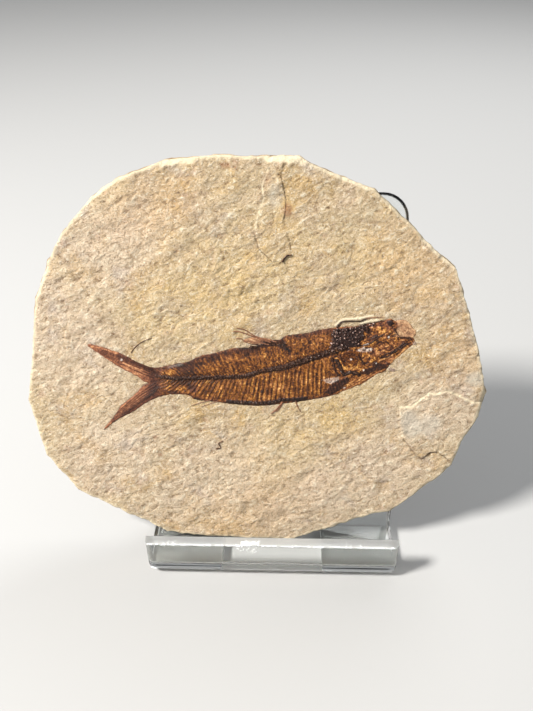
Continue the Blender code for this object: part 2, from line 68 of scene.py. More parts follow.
RAISED_FLAKE = [                      # a thin layer left standing on the face, right of the belly
    (37.6, 40.5), (37.5, 45.9), (41.1, 46.1), (45.9, 50.6), (48.0, 50.3), (51.1, 51.4), (54.2, 50.0),
    (58.8, 47.8), (63.5, 47.4), (63.5, 30.0), (53.8, 28.0), (52.2, 29.8), (49.7, 31.4), (47.6, 31.2),
    (45.3, 29.0), (43.7, 30.0), (39.3, 35.7),
]
RAISED_STRIP = [                      # a thin tongue of the same layer, left near the top of the face
    (-0.6, 118.5), (-1.9, 114.4), (-3.5, 110.0), (-3.0, 106.5), (-4.6, 102.5), (-5.4, 98.3), (-4.3, 92.8),
    (-2.0, 90.6), (-0.6, 89.2), (2.2, 89.2), (3.5, 90.9), (4.6, 92.6), (4.3, 95.1), (2.8, 99.5),
    (3.1, 106.3), (2.5, 109.5), (1.7, 112.4), (3.0, 118.5),
]
FLAKE_RISE, STRIP_RISE = 0.32, 0.13
LIT_EDGE_HIGHLIGHTS = [                       # line, half width and strength of each painted highlight along the lit upper edge of a raised layer
    (RAISED_FLAKE[1:8] + [(62.0, 47.4)], 0.30, 1.0),
    ([(-1.8, 114.7)] + RAISED_STRIP[2:6], 0.22, 0.8),
]
SHADED_EDGE_LINES = [                      # line and width of each dark hairline of painted shadow along a shaded edge of a raised layer
    (RAISED_FLAKE[:10:-1] + [(53.8, 28.5)], 0.30),
    ([(1.7, 112.4), (2.5, 109.5), (3.1, 106.3), (3.1, 103.3), (2.6, 101.1)], 0.18),
    ([(-5.7, 97.2)] + RAISED_STRIP[6:9], 0.20),
    ([(4.2, 95.6), (4.3, 95.1), (4.6, 92.6)], 0.14),
]
STONE_CLOUDS = {                      # middle and radii of each wide, soft cloud in the stone's colour
    "yellow": [((-14.0, 82.0), (26.0, 13.0)), ((8.0, 36.0), (26.0, 12.0)), ((24.0, 88.0), (14.0, 8.0))],
    "warm": [((38.0, 86.0), (12.0, 14.0)), ((-6.0, 10.0), (22.0, 9.0)), ((-34.0, 104.0), (14.0, 8.0)),
             ((52.0, 62.0), (8.0, 10.0))],
    "pink": [((24.0, 22.0), (30.0, 13.0)), ((-20.0, 20.0), (24.0, 12.0)), ((-50.0, 30.0), (16.0, 14.0)),
             ((-62.0, 66.0), (14.0, 26.0)), ((-46.0, 92.0), (14.0, 12.0)), ((48.0, 44.0), (16.0, 10.0))],
}
RUST_STAINS = [                       # middle, radii and strength
    ((3.6, 103.6), (1.2, 1.8), 0.9), ((-2.0, 111.8), (1.2, 2.0), 0.4), ((-34.7, 29.1), (0.7, 0.5), 1.0),
    ((-36.0, 35.1), (0.7, 0.5), 1.0), ((-13.4, 115.4), (1.5, 0.9), 0.8),
]
GREY_PATCHES = [                      # middle, radii, turn and strength
    ((41.0, 40.5), (2.6, 4.6), 0.2, 1.0), ((46.5, 40.5), (4.0, 3.0), 0.5, 0.8),
    ((59.5, 55.0), (3.0, 2.4), 0.0, 1.0), ((0.4, 107.5), (2.0, 3.4), 0.0, 0.7),
]
NIPPED_EDGES = [                      # middle, half length, width and drop of each broken-down edge
    ((-26.6, 116.2), 4.5, 1.5, 0.9), ((2.5, 118.0), 6.0, 1.5, 1.0), ((62.0, 47.0), 5.0, 1.2, 0.8),
    ((-66.0, 83.0), 5.0, 0.8, 0.5), ((45.0, 93.0), 6.0, 0.7, 0.5), ((-48.0, 108.5), 6.0, 0.7, 0.5),
    ((20.0, 112.0), 7.0, 0.7, 0.5), ((56.0, 33.0), 5.0, 0.7, 0.4),
]
BACK_LEDGE = [(-80.0, 74.0), (-22.0, 66.0), (8.0, 88.0), (70.0, 80.0)]
BACK_LEDGE_DEPTH = 0.9

BODY_OUTLINE = [
    (-33.0, 57.4), (-28.8, 58.7), (-25.1, 59.4), (-21.7, 61.1), (-17.2, 62.2), (-11.5, 63.7), (-5.7, 64.1),
    (-2.8, 66.0), (1.4, 66.5), (4.0, 67.8), (9.5, 68.4), (12.8, 69.4), (18.4, 70.4), (24.3, 70.8),
    (29.3, 71.9), (33.6, 72.9), (36.0, 71.0), (37.2, 68.9), (40.0, 67.6), (40.6, 66.0), (38.6, 63.9),
    (34.4, 59.7), (32.7, 57.3), (30.1, 56.1), (26.0, 53.1), (21.5, 51.2), (16.9, 49.2), (9.4, 47.6),
    (2.0, 46.4), (-3.7, 45.8), (-11.7, 46.2), (-17.8, 46.9), (-23.4, 47.5), (-25.2, 48.8), (-30.9, 49.4),
    (-34.0, 51.0), (-35.5, 54.0),
]
UPPER_LOBE = [
    (-29.0, 58.0), (-35.1, 57.4), (-39.0, 58.5), (-43.4, 60.9), (-46.2, 62.3), (-51.7, 64.0), (-54.6, 64.2),
    (-50.8, 61.2), (-45.9, 57.7), (-40.4, 54.6), (-37.0, 52.5), (-29.0, 51.5),
]
LOWER_LOBE = [
    (-29.0, 49.6), (-32.0, 48.8), (-36.7, 47.1), (-42.1, 43.4), (-46.9, 40.9), (-51.6, 37.2), (-47.7, 42.3),
    (-45.8, 45.3), (-41.8, 48.4), (-39.1, 51.5), (-36.8, 52.6), (-29.0, 55.0),
]
BACK_FIN_SKIN = [(-1.0, 64.5), (-6.0, 64.9), (-9.0, 65.9), (-6.8, 66.9), (-4.0, 66.9), (-0.5, 66.4)]
SNOUT_SKIN = [
    (34.0, 71.5), (36.5, 72.8), (38.3, 72.3), (40.1, 70.3), (40.9, 69.2), (39.8, 67.2), (35.0, 66.0),
]
SPINE = [
    (-36.0, 55.0), (-30.1, 54.4), (-26.1, 54.4), (-20.4, 54.7), (-13.5, 55.0), (-8.2, 55.4), (-3.7, 56.9),
    (3.0, 58.2), (7.5, 59.9), (11.5, 61.3), (16.3, 63.0), (20.5, 64.6),
]
FIN_RAYS = [                          # line from the root, and width at the root
    ([(0.8, 65.8), (-4.6, 67.1), (-8.2, 69.2), (-10.7, 69.9)], 0.50),
    ([(-0.8, 65.6), (-6.0, 67.3), (-9.7, 68.7), (-11.7, 68.8)], 0.50),
    ([(-1.4, 65.0), (-5.5, 65.7), (-8.6, 66.0), (-9.5, 66.7), (-11.0, 66.6)], 0.46),
    ([(2.8, 47.3), (1.2, 45.0), (-0.7, 43.2)], 0.62),
    ([(2.9, 47.2), (1.9, 45.2), (0.9, 43.9)], 0.40),
    ([(6.6, 47.6), (7.3, 45.6), (8.2, 44.0)], 0.44),
    ([(-18.6, 47.6), (-24.6, 45.6)], 0.26),
    ([(-16.4, 47.2), (-21.6, 45.2)], 0.24),
    ([(26.4, 73.0), (28.1, 73.3), (29.8, 73.4), (31.5, 73.4)], 0.30),
]
CREST_STRANDS = [                     # line and width of the dark strands over the skull
    ([(18.0, 70.4), (18.6, 71.2), (19.3, 71.9), (20.3, 72.2), (22.4, 72.3), (24.7, 72.3), (26.4, 73.0)],
     0.56),
    ([(25.3, 70.9), (26.2, 71.3), (28.1, 71.7), (29.3, 72.0), (31.0, 72.6)], 0.38),
]
CREST_HIGHLIGHTS = [                      # the thin ridges of stone beside them, painted pale as highlights on their lit edges
    [(17.9, 71.0), (18.9, 72.2), (20.6, 72.8), (22.7, 72.9), (24.6, 73.1), (26.3, 73.6), (28.4, 73.9)],
    [(25.0, 71.5), (26.1, 71.9), (27.6, 72.2), (29.8, 72.7)],
]
WHITE_CHIPS = [(48.3, 65.4), (50.5, 63.6), (45.5, 48.7), (48.6, 45.9)]
RIB_PITCH = 1.25
RIBS_FROM, RIBS_TO = -31.0, 16.5
RIB_SWEEP = 6.6

SHEET = 3.2
EASEL_WIDTH = 76.2
LIP_HEIGHT = 14.3
BEND_RADIUS = 3.1
BACK_REACH = 104.0
TOP_CORNER = 7.5
WINDOW_HALF = 15.5
TONGUE_HALF = 15.15
HINGE_UP = 50.0
TONGUE_SWING = math.radians(33.5)
TONGUE_BEND_RADIUS = 9.0
EASEL_ROUND = 2.3

lip_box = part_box("stand")
EASEL_X = (lip_box[0][0] + lip_box[1][0]) / 2
EASEL_Y = lip_box[0][1]
BED = (Matrix.Translation((EASEL_X, EASEL_Y + BED_FOOT[0] * MM, BED_FOOT[1] * MM))
       @ Matrix.Rotation(math.pi / 2 - LEAN, 4, "X") @ Matrix.Scale(MM, 4))
EASEL = Matrix.Translation((EASEL_X, EASEL_Y, 0.0)) @ Matrix.Scale(MM, 4)


# ---------------------------------------------------------------- plane drawing with numpy

class Field:
    """A smooth random field over the plane, the same on every run."""

    SIDE = 256

    def __init__(self, seed):
        rng = np.random.default_rng(seed)
        angle = rng.uniform(0, 2 * math.pi, (self.SIDE, self.SIDE))
        self.slope_x, self.slope_y = np.cos(angle), np.sin(angle)
        turn = rng.uniform(0.3, 1.2)
        self.cosine, self.sine = math.cos(turn), math.sin(turn)

    def __call__(self, x, y):
        """Values of about -1 to 1, changing over one unit."""
        x, y = np.asarray(x, float), np.asarray(y, float)
        x, y = x * self.cosine - y * self.sine, x * self.sine + y * self.cosine
        left, low = np.floor(x).astype(int), np.floor(y).astype(int)
        dx, dy = x - left, y - low
        ease_x, ease_y = (d * d * d * (d * (d * 6 - 15) + 10) for d in (dx, dy))

        def corner(step_x, step_y):
            row, column = (left + step_x) % self.SIDE, (low + step_y) % self.SIDE
            return self.slope_x[row, column] * (dx - step_x) + self.slope_y[row, column] * (dy - step_y)

        bottom = corner(0, 0) * (1 - ease_x) + corner(1, 0) * ease_x
        top = corner(0, 1) * (1 - ease_x) + corner(1, 1) * ease_x
        return (bottom * (1 - ease_y) + top * ease_y) * 1.5

    def layered(self, x, y, layers=3):
        """The field with finer, fainter copies of itself added."""
        shift_x, shift_y = 0.7 * self(x * 0.9 + 71, y * 0.9), 0.7 * self(x * 0.9, y * 0.9 + 53)
        return sum(self((x + shift_x) * 2.1 ** k + 17.3 * k, (y + shift_y) * 2.1 ** k - 9.1 * k) * 0.55 ** k
                   for k in range(layers))


def fade(value, start, end):
    """0 before start, 1 past end, and a smooth step between."""
    t = np.clip((np.asarray(value, float) - start) / (end - start), 0.0, 1.0)
    return t * t * (3 - 2 * t)


def turned(x, y, turn):
    """The same places, measured along and across a turned direction."""
    cosine, sine = math.cos(turn), math.sin(turn)
    return x * cosine + y * sine, y * cosine - x * sine


def smooth_curve(points, cuts, closed=False):
    """Points on a smooth curve through the given ones, as an array of rows."""
    points = np.asarray(points, float)
    count = len(points)
    spans = count if closed else count - 1
    share = (np.arange(cuts) / cuts)[:, None]
    pieces = []
    for span in range(spans):
        before, start, end, after = (points[(span + k) % count] if closed
                                     else points[min(max(span + k, 0), count - 1)] for k in (-1, 0, 1, 2))
        pieces.append(0.5 * (2 * start + (end - before) * share
                             + (2 * before - 5 * start + 4 * end - after) * share ** 2
                             + (3 * start - before - 3 * end + after) * share ** 3))
    if not closed:
        pieces.append(points[-1:])
    return np.vstack(pieces)


def stepped(line, step, closed=False):
    """The same line with points at an even spacing of about one step."""
    line = np.asarray(line, float)
    if closed:
        line = np.vstack([line, line[:1]])
    run = np.concatenate([[0.0], np.cumsum(np.hypot(*np.diff(line[:, :2], axis=0).T))])
    count = max(2, int(round(run[-1] / step)) + 1)
    marks = np.linspace(0.0, run[-1], count)
    even = np.column_stack([np.interp(marks, run, line[:, axis]) for axis in range(line.shape[1])])
    return even[:-1] if closed else even


def inside(x, y, loop):
    """Which points lie inside a closed outline."""
    loop = np.asarray(loop, float)
    within = np.zeros(np.shape(x), bool)
    for (ax, ay), (bx, by) in zip(loop, np.roll(loop, -1, axis=0)):
        if ay != by:
            crossing = ax + (y - ay) / (by - ay) * (bx - ax)
            within ^= ((ay > y) != (by > y)) & (x < crossing)
    return within


def distance(x, y, line, closed=False):
    """Distance of each point from a line of points."""
    line = np.asarray(line, float)
    ends = np.roll(line, -1, axis=0) if closed else line[1:]
    best = np.full(np.shape(x), np.inf)
    for (ax, ay), (bx, by) in zip(line, ends):
        dx, dy = bx - ax, by - ay
        along = np.clip(((x - ax) * dx + (y - ay) * dy) / max(dx * dx + dy * dy, 1e-12), 0.0, 1.0)
        best = np.minimum(best, np.hypot(x - ax - along * dx, y - ay - along * dy))
    return best


def near_line(x, y, line, half_width, soft=0.15):
    """1 on a line, fading to 0 at its edge."""
    return 1 - fade(distance(x, y, line), half_width - soft, half_width + soft)


def near_spot(x, y, centre, radii, turn=0.0, soft=0.35):
    """1 inside an ellipse, fading to 0 past its edge."""
    along, across = turned(x - centre[0], y - centre[1], turn)
    return 1 - fade(np.hypot(along / radii[0], across / radii[1]), 1 - soft, 1 + soft)


def most(covers):
    """The highest of several covers at each place."""
    return np.max(list(covers), axis=0)


def filled(x, y, loop, ragged=0.0, soft=0.3):
    """1 inside an outline, fading to 0 at its edge, which the ragged amounts push out or in."""
    away = distance(x, y, loop, closed=True)
    return fade(np.where(inside(x, y, loop), away, -away) + ragged, 0.0, soft)


def scattered(loop, spacing, margin, scatter, rng):
    """Points spread evenly but not regularly over an outline."""
    loop = np.asarray(loop, float)
    (left, low), (right, high) = loop.min(axis=0), loop.max(axis=0)
    columns, rows = np.arange(left, right + spacing, spacing), np.arange(low, high + spacing, spacing * 0.87)
    x, y = np.meshgrid(columns, rows)
    x = x + (np.arange(len(rows)) % 2)[:, None] * spacing / 2
    x = x + rng.uniform(-scatter, scatter, x.shape)
    y = y + rng.uniform(-scatter, scatter, y.shape)
    x, y = x.ravel(), y.ravel()
    keep = inside(x, y, loop)
    x, y = x[keep], y[keep]
    keep = distance(x, y, loop[::2], closed=True) > margin
    return np.column_stack([x[keep], y[keep]])


def triangulate(loops, seeds, lines=()):
    """Triangles over what the loops cover: vertex rows, faces, and the loop point each vertex came from."""
    points, edges = [], []
    for chain, closed in [(loop, True) for loop in loops] + [(line, False) for line in lines]:
        first, count = len(points), len(chain)
        points += [Vector(row) for row in np.asarray(chain)[:, :2].tolist()]
        edges += [(first + k, first + (k + 1) % count) for k in range(count if closed else count - 1)]
    points += [Vector(row) for row in np.asarray(seeds).tolist()]
    verts, _, faces, sources, _, _ = delaunay_2d_cdt(points, edges, [], 0, 1e-5)
    verts, faces = np.array([tuple(v) for v in verts]), np.array(faces)
    middle = verts[faces].mean(axis=1)
    kept = np.zeros(len(faces), bool)
    for loop in loops:
        kept |= inside(middle[:, 0], middle[:, 1], loop)
    return verts, faces[kept], sources


# ---------------------------------------------------------------- meshes

def placed(name, data):
    """A new object at the origin, in the scene."""
    piece = bpy.data.objects.new(name, data)
    bpy.context.collection.objects.link(piece)
    return piece


def new_piece(name, verts, faces, matrix, materials=(), edges=(), smooth=True):
    """An object at the origin whose mesh holds its place."""
    mesh = bpy.data.meshes.new(name)
    mesh.from_pydata(np.asarray(verts, float).tolist(), edges, [list(map(int, face)) for face in faces])
    mesh.transform(matrix)
    for material in materials:
        mesh.materials.append(material)
    if smooth:
        mesh.shade_smooth()
    return placed(name, mesh)


def give_values(piece, values):
    """Store named numbers on a piece's vertices."""
    for name, numbers in values.items():
        layer = piece.data.attributes.new(name, "FLOAT", "POINT")
        layer.data.foreach_set("value", np.asarray(numbers, np.float32))


def face_outwards(piece):
    """Turn every face of a closed piece outwards."""
    bm = bmesh.new()
    bm.from_mesh(piece.data)
    bmesh.ops.recalc_face_normals(bm, faces=bm.faces)
    bm.to_mesh(piece.data)
    bm.free()


def join(pieces, name):
    """Several pieces as one."""
    bpy.ops.object.select_all(action="DESELECT")
    for piece in pieces:
        piece.select_set(True)
    bpy.context.view_layer.objects.active = pieces[0]
    bpy.ops.object.join()
    pieces[0].name = pieces[0].data.name = name
    return pieces[0]


# ---------------------------------------------------------------- nodes and shader maths

class Nodes:
    """A tree of nodes, and the one way to add a node to it."""

    def __init__(self, tree):
        self.tree = tree

    def plug(self, socket, value):
        """Give a socket a value or a link."""
        value = value.socket if isinstance(value, Number) else value
        if isinstance(value, bpy.types.NodeSocket):
            self.tree.links.new(value, socket)
        elif socket.type == "RGBA":
            socket.default_value = (*value, 1.0)
        else:
            socket.default_value = value

    def add(self, kind, settings=None, sockets=None):
        """A node of a kind, its settings made first, then its sockets' values or links."""
        node = self.tree.nodes.new(kind)
        for name, value in (settings or {}).items():
            if name == "stops":
                while len(node.color_ramp.elements) < len(value):
                    node.color_ramp.elements.new(0.5)
                for element, (place, colour) in zip(node.color_ramp.elements, value):
                    element.position, element.color = place, (*screen(*colour), 1.0)
            else:
                setattr(node, name, value)
        for key, value in (sockets or {}).items():
            self.plug(node.inputs[key], value)
        return node


class Number:
    """A shader value in arithmetic: each operator adds a Math node."""

    def __init__(self, graph, socket):
        self.graph, self.socket = graph, socket

    def math(self, operation, first, second):
        return self.graph.number("ShaderNodeMath", {"operation": operation}, {0: first, 1: second})

    def __add__(self, other):
        return self.math("ADD", self, other)

    def __mul__(self, other):
        return self.math("MULTIPLY", self, other)

    def __sub__(self, other):
        return self.math("SUBTRACT", self, other)

    def __rsub__(self, other):
        return self.math("SUBTRACT", other, self)

    __radd__, __rmul__ = __add__, __mul__

    def between(self, low, high):
        """0 below low, 1 above high, smooth between."""
        settings = {"interpolation_type": "SMOOTHSTEP"}
        return self.graph.number("ShaderNodeMapRange", settings, {0: self, 1: low, 2: high, 3: 0.0, 4: 1.0})


class Graph(Nodes):
    """The node tree of one material."""

    def __init__(self, name):
        self.material = bpy.data.materials.new(name)
        self.material.use_nodes = True
        super().__init__(self.material.node_tree)
        self.tree.nodes.clear()

    def number(self, kind, settings, sockets, output=0):
        return Number(self, self.add(kind, settings, sockets).outputs[output])

    def stored(self, name):
        """A number stored on the mesh's vertices."""
        return self.number("ShaderNodeAttribute", {"attribute_name": name}, {}, "Fac")

    def place(self, turn=0.0, stretch=(1.0, 1.0, 1.0)):
        """Position on the bed plane in millimetres, turned in the plane and stretched."""
        where = self.add("ShaderNodeTexCoord").outputs["Object"]
        location, rotation, scale = BED.decompose()
        settings = {"vector_type": "TEXTURE"}
        flat = self.add("ShaderNodeMapping", settings, {
            "Vector": where, "Location": location, "Rotation": rotation.to_euler(), "Scale": scale})
        return self.add("ShaderNodeMapping", settings, {
            "Vector": flat.outputs[0], "Rotation": (0.0, 0.0, turn), "Scale": stretch}).outputs[0]

    def noise(self, where, scale, detail=3.0, roughness=0.55, distortion=0.0):
        sockets = {"Vector": where, "Scale": scale, "Detail": detail, "Roughness": roughness}
        return self.number("ShaderNodeTexNoise", {}, {**sockets, "Distortion": distortion})

    def cells(self, where, scale):
        """Distance from the middle of the nearest of many scattered cells."""
        settings = {"feature": "F1"}
        return self.number("ShaderNodeTexVoronoi", settings, {"Vector": where, "Scale": scale}, "Distance")

    def blend(self, cover, first, second):
        """One colour laid over another where the cover is high."""
        settings = {"data_type": "RGBA", "blend_type": "MIX"}
        return self.add("ShaderNodeMix", settings, {0: cover, 6: first, 7: second}).outputs[2]

    def tint(self, colour, layers):
        """A colour with thin layers laid over it: each a cover, its strength and a screen colour."""
        for cover, strength, shade in layers:
            colour = self.blend(cover * strength, colour, screen(*shade))
        return colour

    def ramp(self, value, stops):
        return self.add("ShaderNodeValToRGB", {"stops": stops}, {0: value}).outputs[0]

    def bump(self, height, strength, depth):
        sockets = {"Height": height, "Strength": strength, "Distance": depth}
        return self.add("ShaderNodeBump", {}, sockets).outputs[0]

    def finish(self, colour, roughness, others=None):
        """The material, with one Principled surface."""
        sockets = {"Base Color": colour, "Roughness": roughness, **(others or {})}
        shader = self.add("ShaderNodeBsdfPrincipled", {}, sockets)
        self.add("ShaderNodeOutputMaterial", {}, {0: shader.outputs[0]})
        return self.material


def screen(red, green, blue):
    """A colour given as it looks on a screen, 0 to 255, as linear values."""
    shares = (red / 255, green / 255, blue / 255)
    return tuple(((v + 0.055) / 1.055) ** 2.4 if v > 0.04 else v / 12.92 for v in shares)


# ---------------------------------------------------------------- materials

ACRYLIC_IOR = 1.49


def limestone():
    """Split limestone: cream and tan lumps, ochre and grey clouds, fine dark pits, and painted shade and
    highlight on its bumps.
    """
    g = Graph("limestone")
    flat = g.place()
    streaks = g.place(turn=GRAIN_TURN, stretch=(1.6, 1.0, 1.0))
    broad = g.noise(flat, 0.045, 4.0, 0.6)
    clouds = g.noise(flat, 0.12, 4.0, 0.62, 0.4)
    ochre = g.noise(flat, 0.075, 5.0, 0.68, 0.8)
    grey = g.noise(flat, 0.10, 3.0, 0.6, 0.3)
    pink = g.noise(flat, 0.21, 3.0, 0.6)
    lumps = g.noise(streaks, 0.55, 6.0, 0.72, 0.3)
    flecks = g.noise(streaks, 1.1, 5.0, 0.8, 0.2)
    grain = g.noise(flat, 1.9, 4.0, 0.85)
    rust = g.cells(flat, 0.13).between(0.085, 0.03) * g.noise(flat, 1.1).between(0.45, 0.6)
    uneven = clouds.between(0.30, 0.60) * 0.5 + 0.25
    colour = g.ramp(broad * 0.5 + clouds * 0.5, [
        (0.30, (186, 164, 144)), (0.44, (206, 182, 148)), (0.58, (212, 188, 148)), (0.72, (222, 202, 168))])
    colour = g.tint(colour, [
        (ochre.between(0.50, 0.66), 0.60, (204, 164, 94)),
        (grey.between(0.54, 0.72), 0.60, (172, 160, 152)),
        (pink.between(0.58, 0.72), 0.35, (200, 160, 140)),
        (g.stored("yellow") * uneven, 0.6, (226, 196, 136)),
        (g.stored("warm") * uneven, 0.6, (228, 188, 140)),
        (g.stored("pink") * uneven, 0.6, (232, 210, 190)),
        # lumps, flecks and grain: painted shade where their bump is low, painted highlight where it is high
        (lumps.between(0.50, 0.34), 0.55, (146, 116, 82)),
        (lumps.between(0.54, 0.68), 0.60, (246, 234, 206)),
        (flecks.between(0.46, 0.32), 0.80, (108, 82, 56)),
        (flecks.between(0.55, 0.68), 0.75, (255, 248, 226)),
        (grain.between(0.46, 0.34), 0.66, (104, 80, 56)),
        (grain.between(0.54, 0.66), 0.72, (255, 250, 232)),
        (rust, 0.55, (176, 104, 52)),
        (g.stored("cool"), 0.45, (206, 202, 190)),
        # cream: pale chips and edges of the stone, with painted highlights along the lit layer edges and the
        # crest ridges
        (g.stored("cream"), 0.80, (250, 234, 200)),
        # painted shadow along the shaded edges of the raised layers
        (g.stored("crack"), 0.55, (96, 66, 42)),
        (g.stored("stain"), 0.5, (150, 84, 50)),
    ])
    layers = g.noise(g.place(stretch=(30.0, 30.0, 1.0)), 1.4, 3.0, 0.6)
    wall = g.ramp(layers * 0.7 + grain * 0.3, [
        (0.30, (104, 80, 56)), (0.48, (160, 134, 100)), (0.62, (206, 184, 146))])
    colour = g.blend(g.stored("wall"), colour, wall)
    height = lumps * 1.2 + flecks * 1.0 + grain * 0.9
    return g.finish(colour, 0.82, {"Specular IOR Level": 0.35, "Normal": g.bump(height, 1.0, 0.0009)})


def fossil_bone():
    """The flattened body: amber to near-black bone with scales, thin skin and rusty fins."""
    g = Graph("fossil_bone")
    flat = g.place()
    fleck = g.noise(flat, 1.3, 4.0, 0.7, 0.3)
    fine = g.noise(flat, 2.6, 3.0, 0.7)
    by_rib = g.add("ShaderNodeCombineXYZ", {}, {0: g.stored("root") * 2.1, 1: g.stored("across") * 1.6})
    threads = g.noise(by_rib.outputs[0], 1.0, 4.0, 0.75, 0.3)
    ribbed, tone = g.stored("ribbed"), g.stored("tone")
    lit = tone.between(0.0, 0.35) * 0.5 + 0.5
    specks = ((fleck - 0.5) * 0.55 + (fine - 0.5) * (1.25 - ribbed * 0.3)) * lit
    speckled = tone + specks + (threads - 0.5) * ribbed * 0.9
    colour = g.ramp(speckled, [
        (0.00, (18, 9, 6)), (0.22, (46, 23, 12)), (0.45, (98, 54, 20)), (0.68, (152, 97, 38)),
        (0.95, (226, 176, 102))])
    rusty = g.ramp(speckled, [
        (0.00, (36, 18, 14)), (0.35, (88, 50, 36)), (0.70, (146, 94, 64)), (1.0, (206, 156, 112))])
    colour = g.blend(g.stored("rust"), colour, rusty)
    # pale marks, among them painted glints and a painted sheen
    colour = g.tint(colour, [(g.stored("pale") * fine.between(0.30, 0.55), 0.9, (212, 200, 188))])
    stone = g.ramp(fleck * 0.5 + fine * 0.5, [
        (0.35, (160, 118, 84)), (0.52, (210, 172, 130)), (0.68, (232, 208, 168))])
    colour = g.blend(g.stored("veil"), colour, stone)
    height = fleck * 0.4 + fine * 0.6 + threads * ribbed * 0.8
    roughness = 0.58 - tone * 0.12 - g.stored("gloss") * 0.3
    return g.finish(colour, roughness, {"Specular IOR Level": 0.3, "Normal": g.bump(height, 0.9, 0.00022)})


SMALL_BONES = {                       # roughness, shine, the flecks' size and detail, and their colours
    # spine, strands, jaw and scutes: dark and glossy
    "dark_bone": (0.28, 0.22, (2.2, 3.0, 0.6), [
        (0.35, (22, 12, 9)), (0.56, (56, 34, 24)), (0.74, (128, 98, 76))]),
    # ribs half sunk in the film: brown, paler and duller than the spine
    "rib_bone": (0.4, 0.25, (1.8, 3.0, 0.65), [
        (0.3, (34, 18, 10)), (0.55, (70, 40, 20)), (0.75, (128, 84, 42))]),
    # the skull's bumps: nearly black with a hard shine, and pale spots painted on as glints
    "bumpy_bone": (0.2, 0.3, (2.0, 2.0, 0.6), [
        (0.38, (18, 9, 7)), (0.54, (60, 38, 31)), (0.68, (172, 142, 128))]),
    # curled scraps of skin: thin, greyish pink
    "dried_skin": (0.35, 0.5, (2.6, 2.0, 0.6), [(0.4, (120, 92, 84)), (0.65, (196, 172, 160))]),
    # fin rays that lie on the stone: thin reddish-brown bone
    "rusty_ray": (0.5, 0.5, (2.2, 3.0, 0.6), [(0.3, (80, 46, 30)), (0.7, (146, 98, 68))]),
}


def small_bone(name):
    """The finish of one kind of single bone; only the glossy one shows fine grain."""
    roughness, shine, flecks, colours = SMALL_BONES[name]
    g = Graph(name)
    flat = g.place()
    others = {"Specular IOR Level": shine}
    if name == "dark_bone":
        others["Normal"] = g.bump(g.noise(flat, 7.0), 0.5, 0.0001)
    return g.finish(g.ramp(g.noise(flat, *flecks), colours), roughness, others)


def acrylic(name, colour, roughness, transmission):
    """The easel's clear acrylic; without a roughness of its own it is faintly scratched."""
    g = Graph(name)
    if roughness is None:
        where = g.add("ShaderNodeTexCoord").outputs["Object"]
        roughness = g.noise(where, 60.0, 3.0, 0.6).between(0.5, 0.8) * 0.12 + 0.02
    return g.finish(colour, roughness, {"IOR": ACRYLIC_IOR, "Transmission Weight": transmission})


# ---------------------------------------------------------------- the fish's drawing

def fish_loops():
    """Dense outlines of the body, tail lobes and thin skins, a little ragged at their edges."""
    ragged = Field(71)
    loops = []
    for outline in (BODY_OUTLINE, UPPER_LOBE, LOWER_LOBE, BACK_FIN_SKIN, SNOUT_SKIN):
        loop = stepped(smooth_curve(outline, 8, closed=True), 0.28, closed=True)
        shake = np.column_stack([ragged(loop[:, 0] / 0.9, loop[:, 1] / 0.9 + shift) for shift in (0, 40)])
        loops.append(loop + 0.16 * shake)
    return loops


FISH_LOOPS = fish_loops()
SPINE_LINE = smooth_curve(SPINE, 6)


def spine_height(x):
    return np.interp(x, SPINE_LINE[:, 0], SPINE_LINE[:, 1])


def rib_sweep(root_x):
    """How far behind its root a rib ends: far in the tail, hardly at all by the gills."""
    return RIB_SWEEP * (1 - fade(root_x, -40.0, RIBS_TO))


FLANK_X = np.linspace(-35.0, 36.0, 143)


def flank_table():
    """Belly and back edges of the body at each place along it."""
    loop = smooth_curve(BODY_OUTLINE, 4, closed=True)
    ends = np.roll(loop, -1, axis=0)
    lows, highs = [], []
    for x in FLANK_X:
        hits = (loop[:, 0] > x) != (ends[:, 0] > x)
        a, b = loop[hits], ends[hits]
        y = a[:, 1] + (b[:, 1] - a[:, 1]) * (x - a[:, 0]) / (b[:, 0] - a[:, 0])
        lows.append(y.min())
        highs.append(y.max())
    return np.array(lows), np.array(highs)


FLANK_LOW, FLANK_HIGH = flank_table()


def flank(x):
    return np.interp(x, FLANK_X, FLANK_LOW), np.interp(x, FLANK_X, FLANK_HIGH)


def rib_place(x, y):
    """The root of the rib through each point, and how far across the flank the point lies, -1 to 1."""
    low, high = flank(x)
    root_x, across = x.copy(), np.zeros_like(x)
    for _ in range(6):
        middle = spine_height(root_x)
        reach = np.where(y < middle, middle - low, high - middle)
        across = (y - middle) / np.maximum(reach, 0.5)
        root_x = x + rib_sweep(root_x) * np.minimum(np.abs(across), 1.0)
    return root_x, across


def rib_point(root_x, across):
    """A point on a rib."""
    middle = float(spine_height(root_x))
    x = root_x - float(rib_sweep(root_x)) * abs(across)
    low, high = flank(x)
    reach = (middle - low) if across < 0 else (high - middle)
    return x, middle + across * float(reach)


# ---------------------------------------------------------------- shapes made by Geometry Nodes

